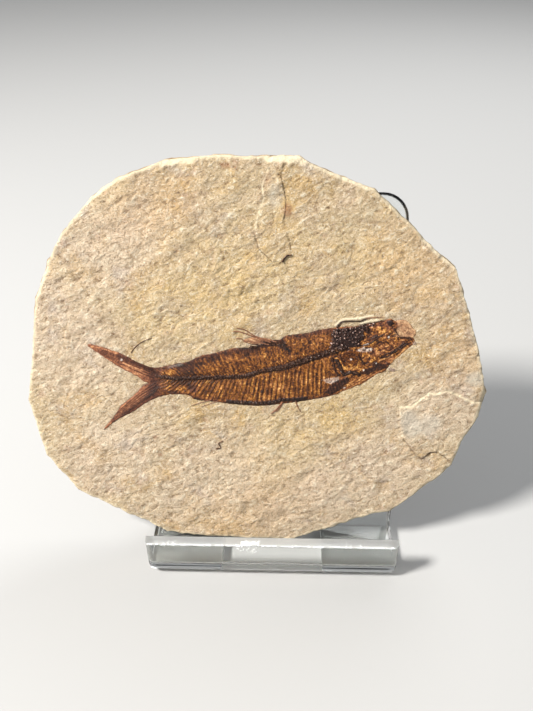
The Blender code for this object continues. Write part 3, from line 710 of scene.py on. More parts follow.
class Tree(Nodes):
    """A Geometry Nodes tree with one material, ending in real geometry."""

    def __init__(self, name, material, sizes):
        super().__init__(bpy.data.node_groups.new(name, "GeometryNodeTree"))
        sockets = self.tree.interface
        sockets.new_socket("Geometry", in_out="INPUT", socket_type="NodeSocketGeometry")
        self.inputs = {}
        for label, value in sizes.items():
            kind = "NodeSocketInt" if isinstance(value, int) else "NodeSocketFloat"
            socket = sockets.new_socket(label, in_out="INPUT", socket_type=kind)
            socket.default_value = value
            self.inputs[label] = socket.identifier
        sockets.new_socket("Geometry", in_out="OUTPUT", socket_type="NodeSocketGeometry")
        source = self.tree.nodes.new("NodeGroupInput")
        self.guide, self.size = source.outputs[0], source.outputs
        self.material = material

    def named(self, name):
        """A number stored on the guide's vertices."""
        settings = {"data_type": "FLOAT"}
        return self.add("GeometryNodeInputNamedAttribute", settings, {"Name": name}).outputs["Attribute"]

    def math(self, operation, first, second):
        return self.add("ShaderNodeMath", {"operation": operation}, {0: first, 1: second}).outputs[0]

    def chance(self, low, high, seed, kind="FLOAT"):
        """A random number for each copy, or three where the kind is FLOAT_VECTOR."""
        node = self.add("FunctionNodeRandomValue", {"data_type": kind}, {"Seed": seed})
        shape = "VALUE" if kind == "FLOAT" else "VECTOR"
        ends = [socket for socket in node.inputs if socket.type == shape and socket.name in ("Min", "Max")]
        self.plug(ends[0], low)
        self.plug(ends[1], high)
        return [socket for socket in node.outputs if socket.type == shape][0]

    def copies(self, points, shape, turn, segments, rings):
        """A ball at each point, stretched to a shape and turned."""
        ball = self.add("GeometryNodeMeshUVSphere", {}, {"Segments": segments, "Rings": rings, "Radius": 1.0})
        size = self.add("ShaderNodeCombineXYZ", {}, dict(enumerate(shape)))
        return self.finish(self.add("GeometryNodeInstanceOnPoints", {}, {
            "Points": points, "Instance": ball.outputs[0], "Rotation": turn, "Scale": size.outputs[0]}))

    def finish(self, node):
        real = self.add("GeometryNodeRealizeInstances", {}, {0: node.outputs[0]})
        smooth = self.add("GeometryNodeSetShadeSmooth", {}, {0: real.outputs[0]})
        painted = self.add("GeometryNodeSetMaterial", {}, {0: smooth.outputs[0], "Material": self.material})
        self.tree.links.new(painted.outputs[0], self.tree.nodes.new("NodeGroupOutput").inputs[0])
        return self


def swept_rods(material):
    """A tapering rod along every line, as thick as the line's stored width says."""
    tree = Tree("swept rods", material, {"Sides": 6, "Thickness": 1.0})
    curve = tree.add("GeometryNodeMeshToCurve", {}, {0: tree.guide})
    radius = tree.math("MULTIPLY", tree.named("half_width"), tree.size["Thickness"])
    sized = tree.add("GeometryNodeSetCurveRadius", {}, {0: curve.outputs[0], "Radius": radius})
    ring = tree.add("GeometryNodeCurvePrimitiveCircle", {}, {"Resolution": tree.size["Sides"], "Radius": 1.0})
    return tree.finish(tree.add("GeometryNodeCurveToMesh", {}, {
        0: sized.outputs[0], 1: ring.outputs[0], "Fill Caps": True, "Scale": radius}))


def beads_on_a_path(material, seed):
    """Small uneven beads strung along every line."""
    tree = Tree("beads on a path", material, {"Pitch": 0.001, "Bead": 1.0, "Unevenness": 0.4, "Length": 1.5})
    curve = tree.add("GeometryNodeMeshToCurve", {}, {0: tree.guide})
    points = tree.add("GeometryNodeCurveToPoints", {"mode": "LENGTH"}, {
        0: curve.outputs[0], "Length": tree.size["Pitch"]})
    bead, half_width = tree.size["Bead"], tree.named("half_width")
    spread = tree.math("MULTIPLY", bead, tree.size["Unevenness"])
    small, large = tree.math("SUBTRACT", bead, spread), tree.math("ADD", bead, spread)
    across = tree.math("MULTIPLY", tree.chance(small, large, seed), half_width)
    along = tree.math("MULTIPLY", tree.chance(small, large, seed + 1), half_width)
    shape = (across, across, tree.math("MULTIPLY", along, tree.size["Length"]))
    return tree.copies(points.outputs[0], shape, points.outputs["Rotation"], 8, 5)


def pimples_on_a_patch(material, seed):
    """Small bumps scattered over a surface, thicker where the stored crowd is high."""
    tree = Tree("pimples on a patch", material, {"Spacing": 0.0006, "Bump": 0.0003, "Density": 4.0e6})
    bump = tree.size["Bump"]
    dots = tree.add("GeometryNodeDistributePointsOnFaces", {"distribute_method": "POISSON"}, {
        0: tree.guide, "Distance Min": tree.size["Spacing"], "Density Max": tree.size["Density"],
        "Density Factor": tree.named("crowd"), "Seed": seed})
    wide = tree.chance(tree.math("MULTIPLY", bump, 0.35), bump, seed + 1)
    long = tree.math("MULTIPLY", wide, tree.chance(1.0, 1.7, seed + 2))
    turn = tree.chance((0.0, 0.0, 0.0), (0.6, 0.6, 6.28), seed + 3, "FLOAT_VECTOR")
    return tree.copies(dots.outputs[0], (long, wide, wide), turn, 7, 4)


def grow(name, tree, guide, sizes=None):
    """A plain mesh made by a tree from a guide piece, which is used up."""
    modifier = guide.modifiers.new("grow", "NODES")
    modifier.node_group = tree.tree
    for label, value in (sizes or {}).items():
        modifier[tree.inputs[label]] = value
    bpy.context.view_layer.update()
    graph = bpy.context.evaluated_depsgraph_get()
    mesh = bpy.data.meshes.new_from_object(guide.evaluated_get(graph), depsgraph=graph)
    bpy.data.objects.remove(guide, do_unlink=True)
    mesh.name = name
    for layer in [layer for layer in mesh.attributes if layer.name in ("half_width", "crowd")]:
        mesh.attributes.remove(layer)
    return placed(name, mesh)


def guide_lines(name, lines, matrix=BED):
    """An edge-only mesh of lines, each a list of x, y, z rows and a matching list of half widths."""
    verts, edges, widths = [], [], []
    for rows, halves in lines:
        edges += [(len(verts) + k, len(verts) + k + 1) for k in range(len(rows) - 1)]
        verts += [tuple(map(float, row)) for row in rows]
        widths += [float(half) * MM for half in np.broadcast_to(halves, len(rows))]
    guide = new_piece(name, verts, [], matrix, edges=edges, smooth=False)
    give_values(guide, {"half_width": widths})
    return guide


# ---------------------------------------------------------------- the stone

EDGE_SHAPE = (                        # depths below the face, and how far the edge stands out there
    [0.0, 0.5, 2.3, 4.4, 6.2, 7.0],
    [0.0, 0.10, 0.25, -0.20, -0.90, -1.40],
)
EDGE_DEPTHS = [0.0, 0.15, 0.45, 0.9, 1.4, 1.9, 2.4, 2.9, 3.4, 3.9, 4.4, 4.9, 5.4, 5.8, 6.2]
EDGE_STEP = 0.42
FACE_SPACING, BACK_SPACING = 0.46, 1.4
CHIP_LENGTH = 4.6
PALE_TOP_FROM, PALE_TOP_TO = 88.0, 106.0    # how high up the upper edge begins to turn pale

SWELL, LUMP, GRIT, BACK_WAVE, LAYER, CHIP, SHELL = (Field(seed) for seed in (21, 22, 23, 24, 25, 26, 27))


def stone_outline():
    """The outline with each side broken into shallow scallops, clockwise as seen from the front."""
    rng = np.random.default_rng(5)
    rows = []
    for start, end in zip(STONE_CORNERS, STONE_CORNERS[1:] + STONE_CORNERS[:1]):
        start, side = np.array(start), np.subtract(end, start)
        length = np.hypot(*side)
        inwards = np.array([side[1], -side[0]]) / length
        chips = max(1, round(length / CHIP_LENGTH))
        breaks = np.sort((np.arange(chips + 1) + np.r_[0, rng.uniform(-0.25, 0.25, chips - 1), 0]) / chips)
        for first, last in zip(breaks, breaks[1:]):
            count = max(3, round((last - first) * length / EDGE_STEP))
            share = np.arange(count) / count
            hollow = np.sin(share * math.pi) * rng.uniform(0.0, 0.24)
            rows.append(start + side * (first + (last - first) * share)[:, None] + inwards * hollow[:, None])
    loop = np.vstack(rows)
    run = np.arange(len(loop)) * EDGE_STEP
    return loop + outward(loop) * (0.07 * CHIP(run / 0.9, 0.5) + 0.08 * CHIP(run / 2.7, 9.5))[:, None]


def outward(loop):
    """Outward directions along a clockwise outline."""
    along = np.roll(loop, -2, axis=0) - np.roll(loop, 2, axis=0)
    along /= np.hypot(*along.T)[:, None]
    return np.column_stack([-along[:, 1], along[:, 0]])


def fish_distance(x, y):
    """Distance outside the fish, below 0 inside."""
    away = np.min([distance(x, y, loop[::4], closed=True) for loop in FISH_LOOPS], axis=0)
    within = np.any([inside(x, y, loop) for loop in FISH_LOOPS], axis=0)
    return np.where(within, -away, away)


def layer_rise(x, y, outline, rise, soft):
    """A layer left standing: its height above the face, steep at its edge."""
    away = distance(x, y, outline, closed=True)
    return np.where(inside(x, y, outline), rise * fade(away, 0.0, soft), 0.0)


def face_height(x, y):
    """Height of the split face, and how far each point is from the outline."""
    along, across = turned(x, y, GRAIN_TURN)
    to_edge = distance(x, y, OUTLINE[::3], closed=True)
    to_fish = fish_distance(x, y)
    calm = fade(to_fish, 1.0, 7.0)
    rough = fade(to_fish, -0.2, 1.4) * (0.75 + 0.45 * fade(SWELL(x / 13 + 5, y / 13), -0.5, 0.5))
    worn = 0.45 + 0.55 * fade(SHELL(x / 3.0 + 7, y / 3.0), -0.4, 0.3)
    rise = 0.36 * SWELL.layered(along / 21, across / 15, 2) * calm
    rise += 0.36 * SWELL(along / 8.5 + 40, across / 4.6) * (0.35 + 0.65 * calm)
    rise += 0.22 * SHELL.layered(along / 4.4, across / 2.8, 2) * rough
    rise += 0.11 * LUMP.layered(along / 2.2, across / 1.5, 2) * rough
    rise += 0.10 * GRIT(along / 1.0, across / 0.9) * (0.6 + 0.4 * calm)
    rise += layer_rise(x, y, RAISED_FLAKE, FLAKE_RISE, 0.3)
    rise += layer_rise(x, y, RAISED_STRIP, STRIP_RISE, 0.35) * worn
    for line, width in SHADED_EDGE_LINES:
        rise -= 0.16 * near_line(x, y, line, width * 0.6, 0.12)
    for line in CREST_HIGHLIGHTS:
        rise += 0.20 * near_line(x, y, line, 0.25, 0.2)
    for centre in WHITE_CHIPS:
        rise += 0.12 * near_spot(x, y, centre, (0.45, 0.25), 0.4)
    for middle, half_length, width, drop in NIPPED_EDGES:
        near = 1 - fade(distance(x, y, [middle] * 2), half_length * 0.75, half_length * 1.15)
        rise -= drop * near * (1 - np.clip(to_edge / width, 0, 1))
    rise -= 0.22 * (1 - fade(to_edge, 0.0, 0.9)) * fade(CHIP(x / 3.1, y / 3.1), -0.3, 0.5)
    return rise - 0.45 * (1 - fade(to_fish, -0.35, -0.02)), to_edge


def stone_marks(x, y):
    """Numbers that the stone's material reads."""
    to_edge = distance(x, y, OUTLINE[::3], closed=True)
    broken = 0.15 + 0.85 * fade(GRIT(x / 1.6, y / 1.6), -0.55, -0.15)
    # pale chips, rim and nipped edges, with painted highlights along the lit layer edges and the crest ridges
    cream = [near_line(x, y, line, half, 0.2) * strength for line, half, strength in LIT_EDGE_HIGHLIGHTS]
    cream.append((1 - fade(to_edge, 0.25, 0.9)) * 0.8)
    cream += [near_line(x, y, line, 0.3, 0.14) * 1.2 for line in CREST_HIGHLIGHTS]
    cream += [near_spot(x, y, centre, (0.5, 0.28), 0.4) for centre in WHITE_CHIPS]
    for middle, half_length, width, _ in NIPPED_EDGES:
        near = 1 - fade(distance(x, y, [middle] * 2), half_length * 0.8, half_length * 1.2)
        cream.append(near * (1 - fade(to_edge, width * 0.8, width * 1.1)))
    marks = {
        "crack": most(near_line(x, y, line, width * 0.75, 0.16) for line, width in SHADED_EDGE_LINES) * broken,
        "cream": most(cream),
        "stain": most(near_spot(x, y, centre, radii) * strength for centre, radii, strength in RUST_STAINS),
        "cool": np.clip(sum(near_spot(x, y, centre, radii, turn) * strength
                            for centre, radii, turn, strength in GREY_PATCHES), 0, 1),
    }
    for name, clouds in STONE_CLOUDS.items():
        marks[name] = most(near_spot(x, y, centre, radii, 0.5, 0.6) for centre, radii in clouds)
    return marks


def stone_level(x, y):
    """Height of the stone's face at single places."""
    return face_height(np.asarray(x, float), np.asarray(y, float))[0]


def beside(line, gaps, step=0.22):
    """Rows of points along a line and to both sides of it."""
    line = stepped(line, step)
    along = np.gradient(line, axis=0)
    along /= np.maximum(np.hypot(*along.T), 1e-9)[:, None]
    side = np.column_stack([-along[:, 1], along[:, 0]])
    return np.vstack([line + side * gap for gap in gaps])


def face_seeds():
    """Where the face has its vertices: scattered, and in rows along every fine line."""
    seeds = [scattered(OUTLINE, FACE_SPACING, 0.3, 0.09, np.random.default_rng(6))]
    chips = [[(x - 0.6, y - 0.25), (x + 0.6, y + 0.25)] for x, y in WHITE_CHIPS]
    for lines, gaps in (
            ([line for line, _ in SHADED_EDGE_LINES], (-0.2, 0.0, 0.2)),
            ([loop + loop[:1] for loop in (RAISED_FLAKE, RAISED_STRIP)], (-0.3, -0.15, 0.0, 0.15, 0.3)),
            (CREST_HIGHLIGHTS, (-0.25, -0.1, 0.1, 0.25)),
            (chips, (-0.3, -0.1, 0.1, 0.3))):
        seeds += [beside(line, gaps) for line in lines]
    seeds = np.vstack(seeds)
    seeds = seeds[inside(*seeds.T, OUTLINE)]
    return seeds[distance(*seeds.T, OUTLINE[::2], closed=True) > 0.25]


def edge_rings(rim_height):
    """The stone's edge as rings of rows, from the face down: layered, chipped and ragged."""
    run = np.arange(len(OUTLINE)) * EDGE_STEP
    rings = []
    for depth in EDGE_DEPTHS:
        ragged = fade(depth, 0.0, 1.2)
        shape = np.interp(depth, *EDGE_SHAPE) + ragged * (
            0.26 * LAYER(depth * 1.1 + 3, run / 26) + 0.20 * LAYER(depth / 0.9, run / 2.4 + 50)
            + 0.30 * CHIP(run / 5.2, depth / 3.0))
        level = 0.16 * ragged * LAYER(run / 7.0, depth + 30) - depth
        drop = rim_height * (1 - fade(depth, 0.0, 2.0))
        rings.append(np.column_stack([OUTLINE + outward(OUTLINE) * shape[:, None], level + drop]))
    return rings


def back_height(x, y):
    """Height of the plain, ledged back."""
    lost = 0.7 * (0.5 + 0.5 * np.clip(BACK_WAVE.layered(x / 13, y / 13, 3), -1, 1))
    ledge = y - np.interp(x, *np.array(BACK_LEDGE).T) + BACK_WAVE.layered(x / 4, y / 4)
    lost += BACK_LEDGE_DEPTH * fade(ledge, -0.3, 0.3) + 0.12 * GRIT.layered(x / 2.4, y / 1.8, 2)
    return lost - STONE_THICK


OUTLINE = stone_outline()


def make_stone(material):
    """The split stone: fine relief on its face, layered round its edge and ledged on its back."""
    count = len(OUTLINE)
    rings = edge_rings(face_height(*OUTLINE.T)[0])
    verts = [row for ring in rings for row in ring]
    edge_end = len(verts)
    ring, column = (part.ravel() for part in np.mgrid[:len(rings) - 1, :count])
    a, b = ring * count + column, ring * count + (column + 1) % count
    all_faces = list(np.column_stack([a, b, b + count, a + count]))

    def add_cap(loop, seeds, height, first_of_rim):
        flat, faces, sources = triangulate([loop], seeds)
        level = height(*flat.T)
        index = np.zeros(len(flat), int)
        for k, source in enumerate(sources):
            rim = [s for s in source if s < count]
            if rim:
                index[k] = first_of_rim + rim[0]
            else:
                index[k] = len(verts)
                verts.append((*flat[k], level[k]))
        all_faces.extend(index[faces])

    add_cap(OUTLINE, face_seeds(), stone_level, 0)
    face_end = len(verts)
    foot = rings[-1][:, :2]
    back_seeds = scattered(foot, BACK_SPACING, 0.7, 0.35, np.random.default_rng(8))
    add_cap(foot, back_seeds, back_height, edge_end - count)

    place = np.array(verts)
    on_face = np.r_[np.arange(count), np.arange(edge_end, face_end)]
    found = stone_marks(*place[on_face, :2].T)
    marks = {name: np.zeros(len(verts)) for name in (*found, "wall")}
    for name, numbers in found.items():
        marks[name][on_face] = numbers
    depth = np.repeat(EDGE_DEPTHS, count)
    paler_up = fade(place[:edge_end, 1], PALE_TOP_FROM, PALE_TOP_TO) * (1 - fade(depth, 0.8, 2.4))
    wall = np.repeat([0.0, 0.1, 0.45, 0.85] + [1.0] * (len(rings) - 4), count)
    marks["wall"][:edge_end] = wall * (1 - 0.9 * paler_up)
    marks["cream"][:edge_end] = np.maximum(marks["cream"][:edge_end], 0.9 * paler_up)
    stone = new_piece("split_stone", place, all_faces, BED, [material])
    face_outwards(stone)
    give_values(stone, marks)
    return stone


# ---------------------------------------------------------------- the fish

SKULL = [
    (17.2, 69.8), (22.2, 70.6), (25.9, 71.0), (29.0, 71.8), (29.3, 71.1), (26.6, 70.4), (26.0, 69.1),
    (26.0, 66.9), (25.0, 66.4), (24.6, 65.1), (23.3, 64.5), (18.1, 63.9), (16.9, 63.2), (16.3, 64.3),
    (16.8, 66.8), (16.9, 69.2),
]
JAW_BLOTCH = [
    (25.4, 56.5), (26.4, 57.9), (28.9, 58.6), (28.5, 60.0), (29.9, 60.3), (31.7, 59.6), (33.4, 60.2),
    (34.1, 59.5), (33.5, 58.5), (32.1, 57.9), (30.0, 57.2), (27.6, 56.0),
]
SILVER_PATCH = [
    (23.9, 63.4), (24.6, 64.1), (25.9, 64.6), (27.3, 64.8), (29.3, 64.1), (27.4, 63.1), (25.2, 62.9),
]
BREAST_FIN = [
    (14.7, 50.2), (15.8, 51.4), (17.6, 54.3), (21.7, 55.5), (22.5, 54.3), (19.8, 51.2), (17.0, 49.6),
]
FIN_SHEEN = [(13.5, 54.2), (15.7, 54.9), (19.5, 55.5), (19.1, 54.3), (16.9, 53.1)]
KNOB = [(32.0, 72.3), (33.7, 73.0), (34.7, 71.7), (33.5, 70.7), (32.6, 71.2)]
SCUTES = [(-13.6, 47.1), (-10.6, 46.9), (-4.9, 46.7), (0.0, 47.0), (2.3, 47.8), (6.8, 48.0), (9.6, 48.5)]
TAIL_BANDS = [                        # line and half width of each dark band
    ([(-30.5, 56.4), (-36.1, 56.9), (-38.4, 57.9), (-42.0, 59.5), (-45.2, 61.1)], 0.75),
    ([(-31.0, 50.6), (-36.5, 48.2), (-40.9, 45.1), (-45.4, 42.0)], 0.65),
    ([(-36.5, 55.3), (-34.9, 55.1), (-31.6, 55.5), (-29.8, 54.6)], 0.6),
]
TAIL_LIGHT = [(-44.4, 58.9), (-41.9, 57.7), (-39.1, 56.4)]
HEAD_STREAKS = [                      # line, half width and tone of each bone line in the head
    ([(18.5, 60.4), (19.3, 59.1), (19.8, 57.7), (20.5, 56.4), (21.3, 56.3), (22.4, 56.9), (24.5, 56.5),
      (25.1, 56.0)], 0.42, 0.02),
    ([(17.0, 61.2), (17.6, 59.1), (18.1, 57.2), (19.3, 55.9)], 0.26, 0.18),
    ([(19.4, 62.4), (19.6, 61.0), (20.6, 59.1)], 0.22, 0.22),
    ([(24.7, 62.0), (25.8, 60.3), (26.4, 59.4)], 0.22, 0.15),
    ([(24.4, 64.8), (26.1, 65.2), (28.1, 65.9), (29.2, 67.0), (30.6, 67.9), (31.7, 68.6)], 0.20, 0.12),
    ([(26.9, 70.6), (27.0, 69.2)], 0.42, 0.08),
    ([(28.4, 67.2), (29.6, 68.0)], 0.25, 0.14),
    ([(31.0, 61.5), (33.2, 61.8), (34.9, 63.1), (36.6, 64.3), (38.4, 65.7)], 0.20, 0.12),
    ([(32.0, 62.2), (34.2, 63.3), (36.0, 64.6), (37.8, 66.2)], 0.18, 0.16),
    ([(35.4, 68.5), (36.0, 66.7)], 0.14, 0.25),
    ([(34.6, 70.1), (35.5, 68.7), (36.6, 67.6), (37.9, 67.6), (39.6, 67.1)], 0.28, 0.16),
    ([(32.4, 66.4), (34.4, 64.6)], 0.2, 0.25),
    ([(29.4, 66.8), (31.6, 66.0)], 0.2, 0.25),
]
JAW_LIGHTS = [                        # line, half width and softness of each pale edge of the jaw
    ([(33.4, 59.1), (35.1, 60.7), (36.7, 62.4), (38.9, 64.7)], 0.42, 0.25),
    ([(30.9, 60.8), (33.0, 61.2), (34.4, 62.4)], 0.22, 0.15),
]
HEAD_LIGHTS = [                       # middle and radius of each yellow spot
    ((31.2, 69.4), 0.9), ((25.7, 68.0), 0.6), ((31.3, 63.0), 0.9), ((30.1, 62.7), 0.6), ((33.8, 65.4), 0.8),
    ((30.3, 70.1), 0.5), ((28.0, 68.4), 0.6), ((26.8, 62.2), 0.9), ((22.3, 59.0), 0.7), ((20.9, 58.4), 0.5),
    ((26.6, 58.0), 0.7), ((35.0, 67.0), 0.6),
]
WHITE_DOTS_AND_GLINTS = [                        # middle and radius; those on the gill arc and in the jaw are painted glints
    ((33.1, 67.7), 0.28), ((22.5, 60.9), 0.28), ((26.3, 57.6), 0.26), ((19.9, 57.1), 0.24),
    ((22.2, 56.8), 0.28), ((29.9, 59.8), 0.18), ((-44.8, 59.8), 0.34),
]
PALE_LINES = [                        # line, half width, softness and strength
    ([(26.1, 65.2), (27.3, 65.6)], 0.2, 0.1, 0.9), ([(-31.0, 57.6), (-27.0, 58.6)], 0.3, 0.3, 0.25),
]
DARK_BLOTCHES = [                     # middle and radii
    ((-17.9, 60.7), (1.9, 1.1)), ((-21.0, 59.0), (1.2, 0.7)), ((-13.4, 61.9), (1.2, 0.8)),
    ((-7.9, 61.9), (1.0, 0.8)), ((-6.4, 63.0), (0.9, 0.7)), ((-10.9, 62.7), (1.2, 0.6)),
    ((-16.6, 47.8), (1.0, 0.6)), ((-13.4, 47.1), (1.4, 0.6)), ((-29.4, 49.9), (0.9, 0.6)),
    ((-22.3, 58.4), (0.9, 0.6)),
]
GREY_BLOTCHES = [((-24.0, 50.9), (1.3, 1.3), 0.6), ((-25.5, 57.6), (1.9, 0.9), 0.2)]  # and turn
LIGHT_BLOTCHES = [((-27.4, 51.2), (1.8, 0.8)), ((-30.6, 56.2), (1.9, 0.8))]
BACK_FIN_ROOTS = [
    (-9.4, 63.9), (-7.6, 64.2), (-5.0, 64.4), (-2.4, 65.3), (1.2, 65.5), (3.2, 64.4), (4.4, 63.2),
]
CURLS = [(34.0, 57.9), (34.9, 57.6), (40.5, 65.9)]
GILL_COVER, GILL_RADIUS = (22.3, 60.9), 2.3
RED, TINT, MOTTLE, SCALE = (Field(seed) for seed in (31, 32, 33, 34))


def lobe_lines(root, tip, outer, inner, count=6):
    """Fine rays that fan along a tail lobe from its root towards its tip."""
    root, tip, outer, inner = (np.array(point) for point in (root, tip, outer, inner))
    lines = []
    for share in (np.arange(count) + 0.5) / count:
        end = outer * (1 - share) + inner * share
        start = root + np.array([-3.0 * abs(share - 0.5), (0.5 - share) * 3.4])
        lines.append([start, start * 0.5 + end * 0.5, end * 0.65 + tip * 0.35, end * 0.3 + tip * 0.7])
    return lines


TAIL_RAYS = (lobe_lines((-34.0, 55.6), (-54.0, 63.9), (-46.3, 61.9), (-45.4, 58.0))
             + lobe_lines((-34.0, 51.2), (-50.6, 38.0), (-45.0, 46.2), (-44.4, 42.4)))


class Film:
    """The fish at many places: its height above the bed plane, and the numbers that its material reads.

    Each part of the fish paints over what is there already, so the order of the parts counts.
    """

    def __init__(self, x, y):
        self.x, self.y = x, y
        within = [inside(x, y, loop) for loop in FISH_LOOPS]
        self.body, self.upper, self.lower, self.fin_skin, self.snout_skin = within
        self.edge = most(part * distance(x, y, loop[::2], closed=True)
                         for part, loop in zip(within[:3], FISH_LOOPS))
        self.low, self.high = flank(x)
        self.in_tail = fade(-x + 0.8 * TINT(x / 2.0, y / 1.1), 31.5, 36.0)
        self.mottle = MOTTLE.layered(x / 1.3, y / 1.0, 3)
        self.blots = TINT.layered(x / 3.4, y / 2.4, 3)
        self.crumb = SCALE.layered(x / 0.85 + 12, y / 0.75, 3)
        self.rise = 0.06 + 0.34 * fade(self.edge, 0.0, 4.5) * (1 - self.in_tail)
        self.rise += 0.05 * fade(self.edge, 0.0, 0.5) + 0.05 * self.mottle * (1 - 0.7 * self.in_tail)
        self.flank()
        self.tail()
        self.spine()
        self.head()
        self.dark_bones()
        self.skins()
        self.pale_marks()
        for name in self.values.keys() - {"root", "across"}:
            self.values[name] = np.clip(self.values[name], 0.0, 1.0)

    def line(self, line, half_width, soft=0.15):
        return near_line(self.x, self.y, line, half_width, soft)

    def spot(self, centre, radii, turn=0.0, soft=0.35):
        return near_spot(self.x, self.y, centre, radii, turn, soft)

    def patch(self, loop, ragged=0.0):
        return filled(self.x, self.y, loop, ragged)

    def paint(self, name, cover, target):
        """Move one of the values towards a target where the cover is high."""
        self.values[name] = self.values[name] * (1 - cover) + target * cover

    def flank(self):
        """Ribs below the spine and scales above it, darker towards the belly and the back."""
        x, y, body = self.x, self.y, self.body
        root_x, across = rib_place(np.clip(x, -34.5, 35.5), y)
        in_ribs = fade(root_x, -33.0, -29.0) * (1 - fade(x, 14.5, 17.0)) * (1 - self.in_tail) * body
        below, fore = 1 - fade(across, -0.10, 0.02), fade(x, -13.0, -6.0)
        phase = (root_x - RIBS_FROM) / RIB_PITCH + 0.20 * TINT(x / 2.2, y / 3.0)
        rib = (0.5 + 0.5 * np.cos(2 * math.pi * phase)) ** 1.3
        clear = fade(np.abs(across), 0.10, 0.22) * (1 - fade(np.abs(across), 0.84, 1.0))
        depth = in_ribs * clear * (below * (0.30 + 0.06 * fore) + (1 - below) * (0.26 - 0.24 * fore))
        depth *= 0.35 + 0.65 * fade(TINT.layered(x / 2.0 + 9, y / 2.4), -0.6, 0.4)
        streak = MOTTLE(root_x / 0.50, across * 1.5 + 40) + 0.7 * SCALE(root_x / 0.27, across * 2.6)
        scales = MOTTLE(x / 0.45 + 30, y / 0.55) + 0.6 * SCALE(x / 1.1, y / 1.1 + 20)
        top_edge = (1 - fade(self.high - y, 0.2, 2.0)) * body
        low_edge = (1 - fade(y - self.low, 0.1, 1.0)) * body
        waist = (1 - fade(np.abs(x + 26.0), 1.5, 5.0)) * fade(y - self.low, 1.0, 3.0) * body

        tone = 0.48 + 0.12 * self.mottle + 0.12 * self.blots + streak * in_ribs * (0.06 + 0.08 * below)
        tone += 0.12 * self.crumb * in_ribs - 0.04 * (1 - below) - depth * (rib - 0.40)
        tone += 0.20 * scales * (1 - below) * (0.35 + 0.65 * fore) * body
        tone -= 0.16 * top_edge + 0.20 * low_edge + 0.18 * waist
        rust = np.clip(0.55 * top_edge + 0.5 * low_edge + 0.25 * fade(self.blots, 0.1, 0.6), 0, 1)
        rust = np.clip(rust + fade(x, 25.0, 30.0) * 0.45 * fade(RED(x / 2.2, y / 2.2), -0.3, 0.3), 0, 1)
        self.values = {"tone": tone, "rust": rust, "root": root_x, "across": across,
                       "ribbed": in_ribs * fade(np.abs(across), 0.05, 0.2),
                       "gloss": 0.5 * rib * in_ribs * below}
        for centre, radii in DARK_BLOTCHES:
            self.paint("tone", self.spot(centre, radii, 0.2, 0.5) * 0.7 * fade(self.mottle, -0.7, 0.1), 0.12)
        self.rise += 0.16 * in_ribs * clear * (rib - 0.4) * (0.6 + 0.4 * below) + 0.05 * scales * body

    def tail(self):
        """Both lobes with their fine rays and dark bands."""
        rays = np.min([distance(self.x, self.y, line) for line in TAIL_RAYS], axis=0)
        ray = 1 - fade(rays, 0.02, 0.30)
        flank_tone = self.values["tone"]
        tone = 0.66 + 0.14 * self.mottle + 0.10 * self.blots + 0.16 * self.crumb - 0.26 * ray
        tone -= 0.12 * (1 - fade(self.edge, 0.0, 0.5)) + 0.44 * fade(self.x, -40.0, -35.0)
        self.values["tone"] = tone
        for line, half in TAIL_BANDS:
            self.paint("tone", self.line(line, half, 0.5) * 0.85, 0.26 + 0.14 * self.mottle - 0.14 * ray)
        self.paint("tone", self.line(TAIL_LIGHT, 0.24), 0.95)
        self.paint("tone", 1 - self.in_tail, flank_tone)
        self.paint("rust", self.in_tail, 1.0)
        self.rise += 0.07 * ray * ((self.upper | self.lower) & (self.in_tail > 0.05))

    def spine(self):
        """The spine and the belly's scutes, and the grey and light blotches beside them."""
        x, y = self.x, self.y
        away = distance(x, y, SPINE_LINE)
        half = 0.42 + 0.50 * fade(x, -8.0, 8.0) + 0.28 * MOTTLE(x / 1.0, y / 3.0)
        cover = (1 - fade(away, half - 0.2, half + 0.35)) * (1 - fade(-x, 33.0, 36.0)) * self.body
        gap = self.spot((-3.2, 57.0), (1.4, 0.7), 0.3) * 0.45
        scute = self.line(SCUTES, 0.55, 0.3)
        self.paint("tone", cover * (1 - gap) * 0.95, 0.10 + 0.10 * np.abs(self.mottle))
        self.paint("rust", cover * 0.6, 0.25)
        self.paint("tone", scute * 0.95, 0.03)
        grey = most(self.spot(centre, radii, turn, 0.5) for centre, radii, turn in GREY_BLOTCHES)
        grey *= 0.5 + 0.5 * fade(self.mottle, -0.6, 0.3)
        self.paint("tone", grey * 0.85, 0.22)
        self.paint("rust", grey, 0.6)
        for centre, radii in LIGHT_BLOTCHES:
            self.paint("tone", self.spot(centre, radii, 0.1, 0.5) * 0.7, 0.70 + 0.15 * self.mottle)
        self.rise += 0.30 * (1 - fade(away, 0.0, 0.85)) * cover + 0.24 * scute * fade(self.edge, 0.1, 0.4)

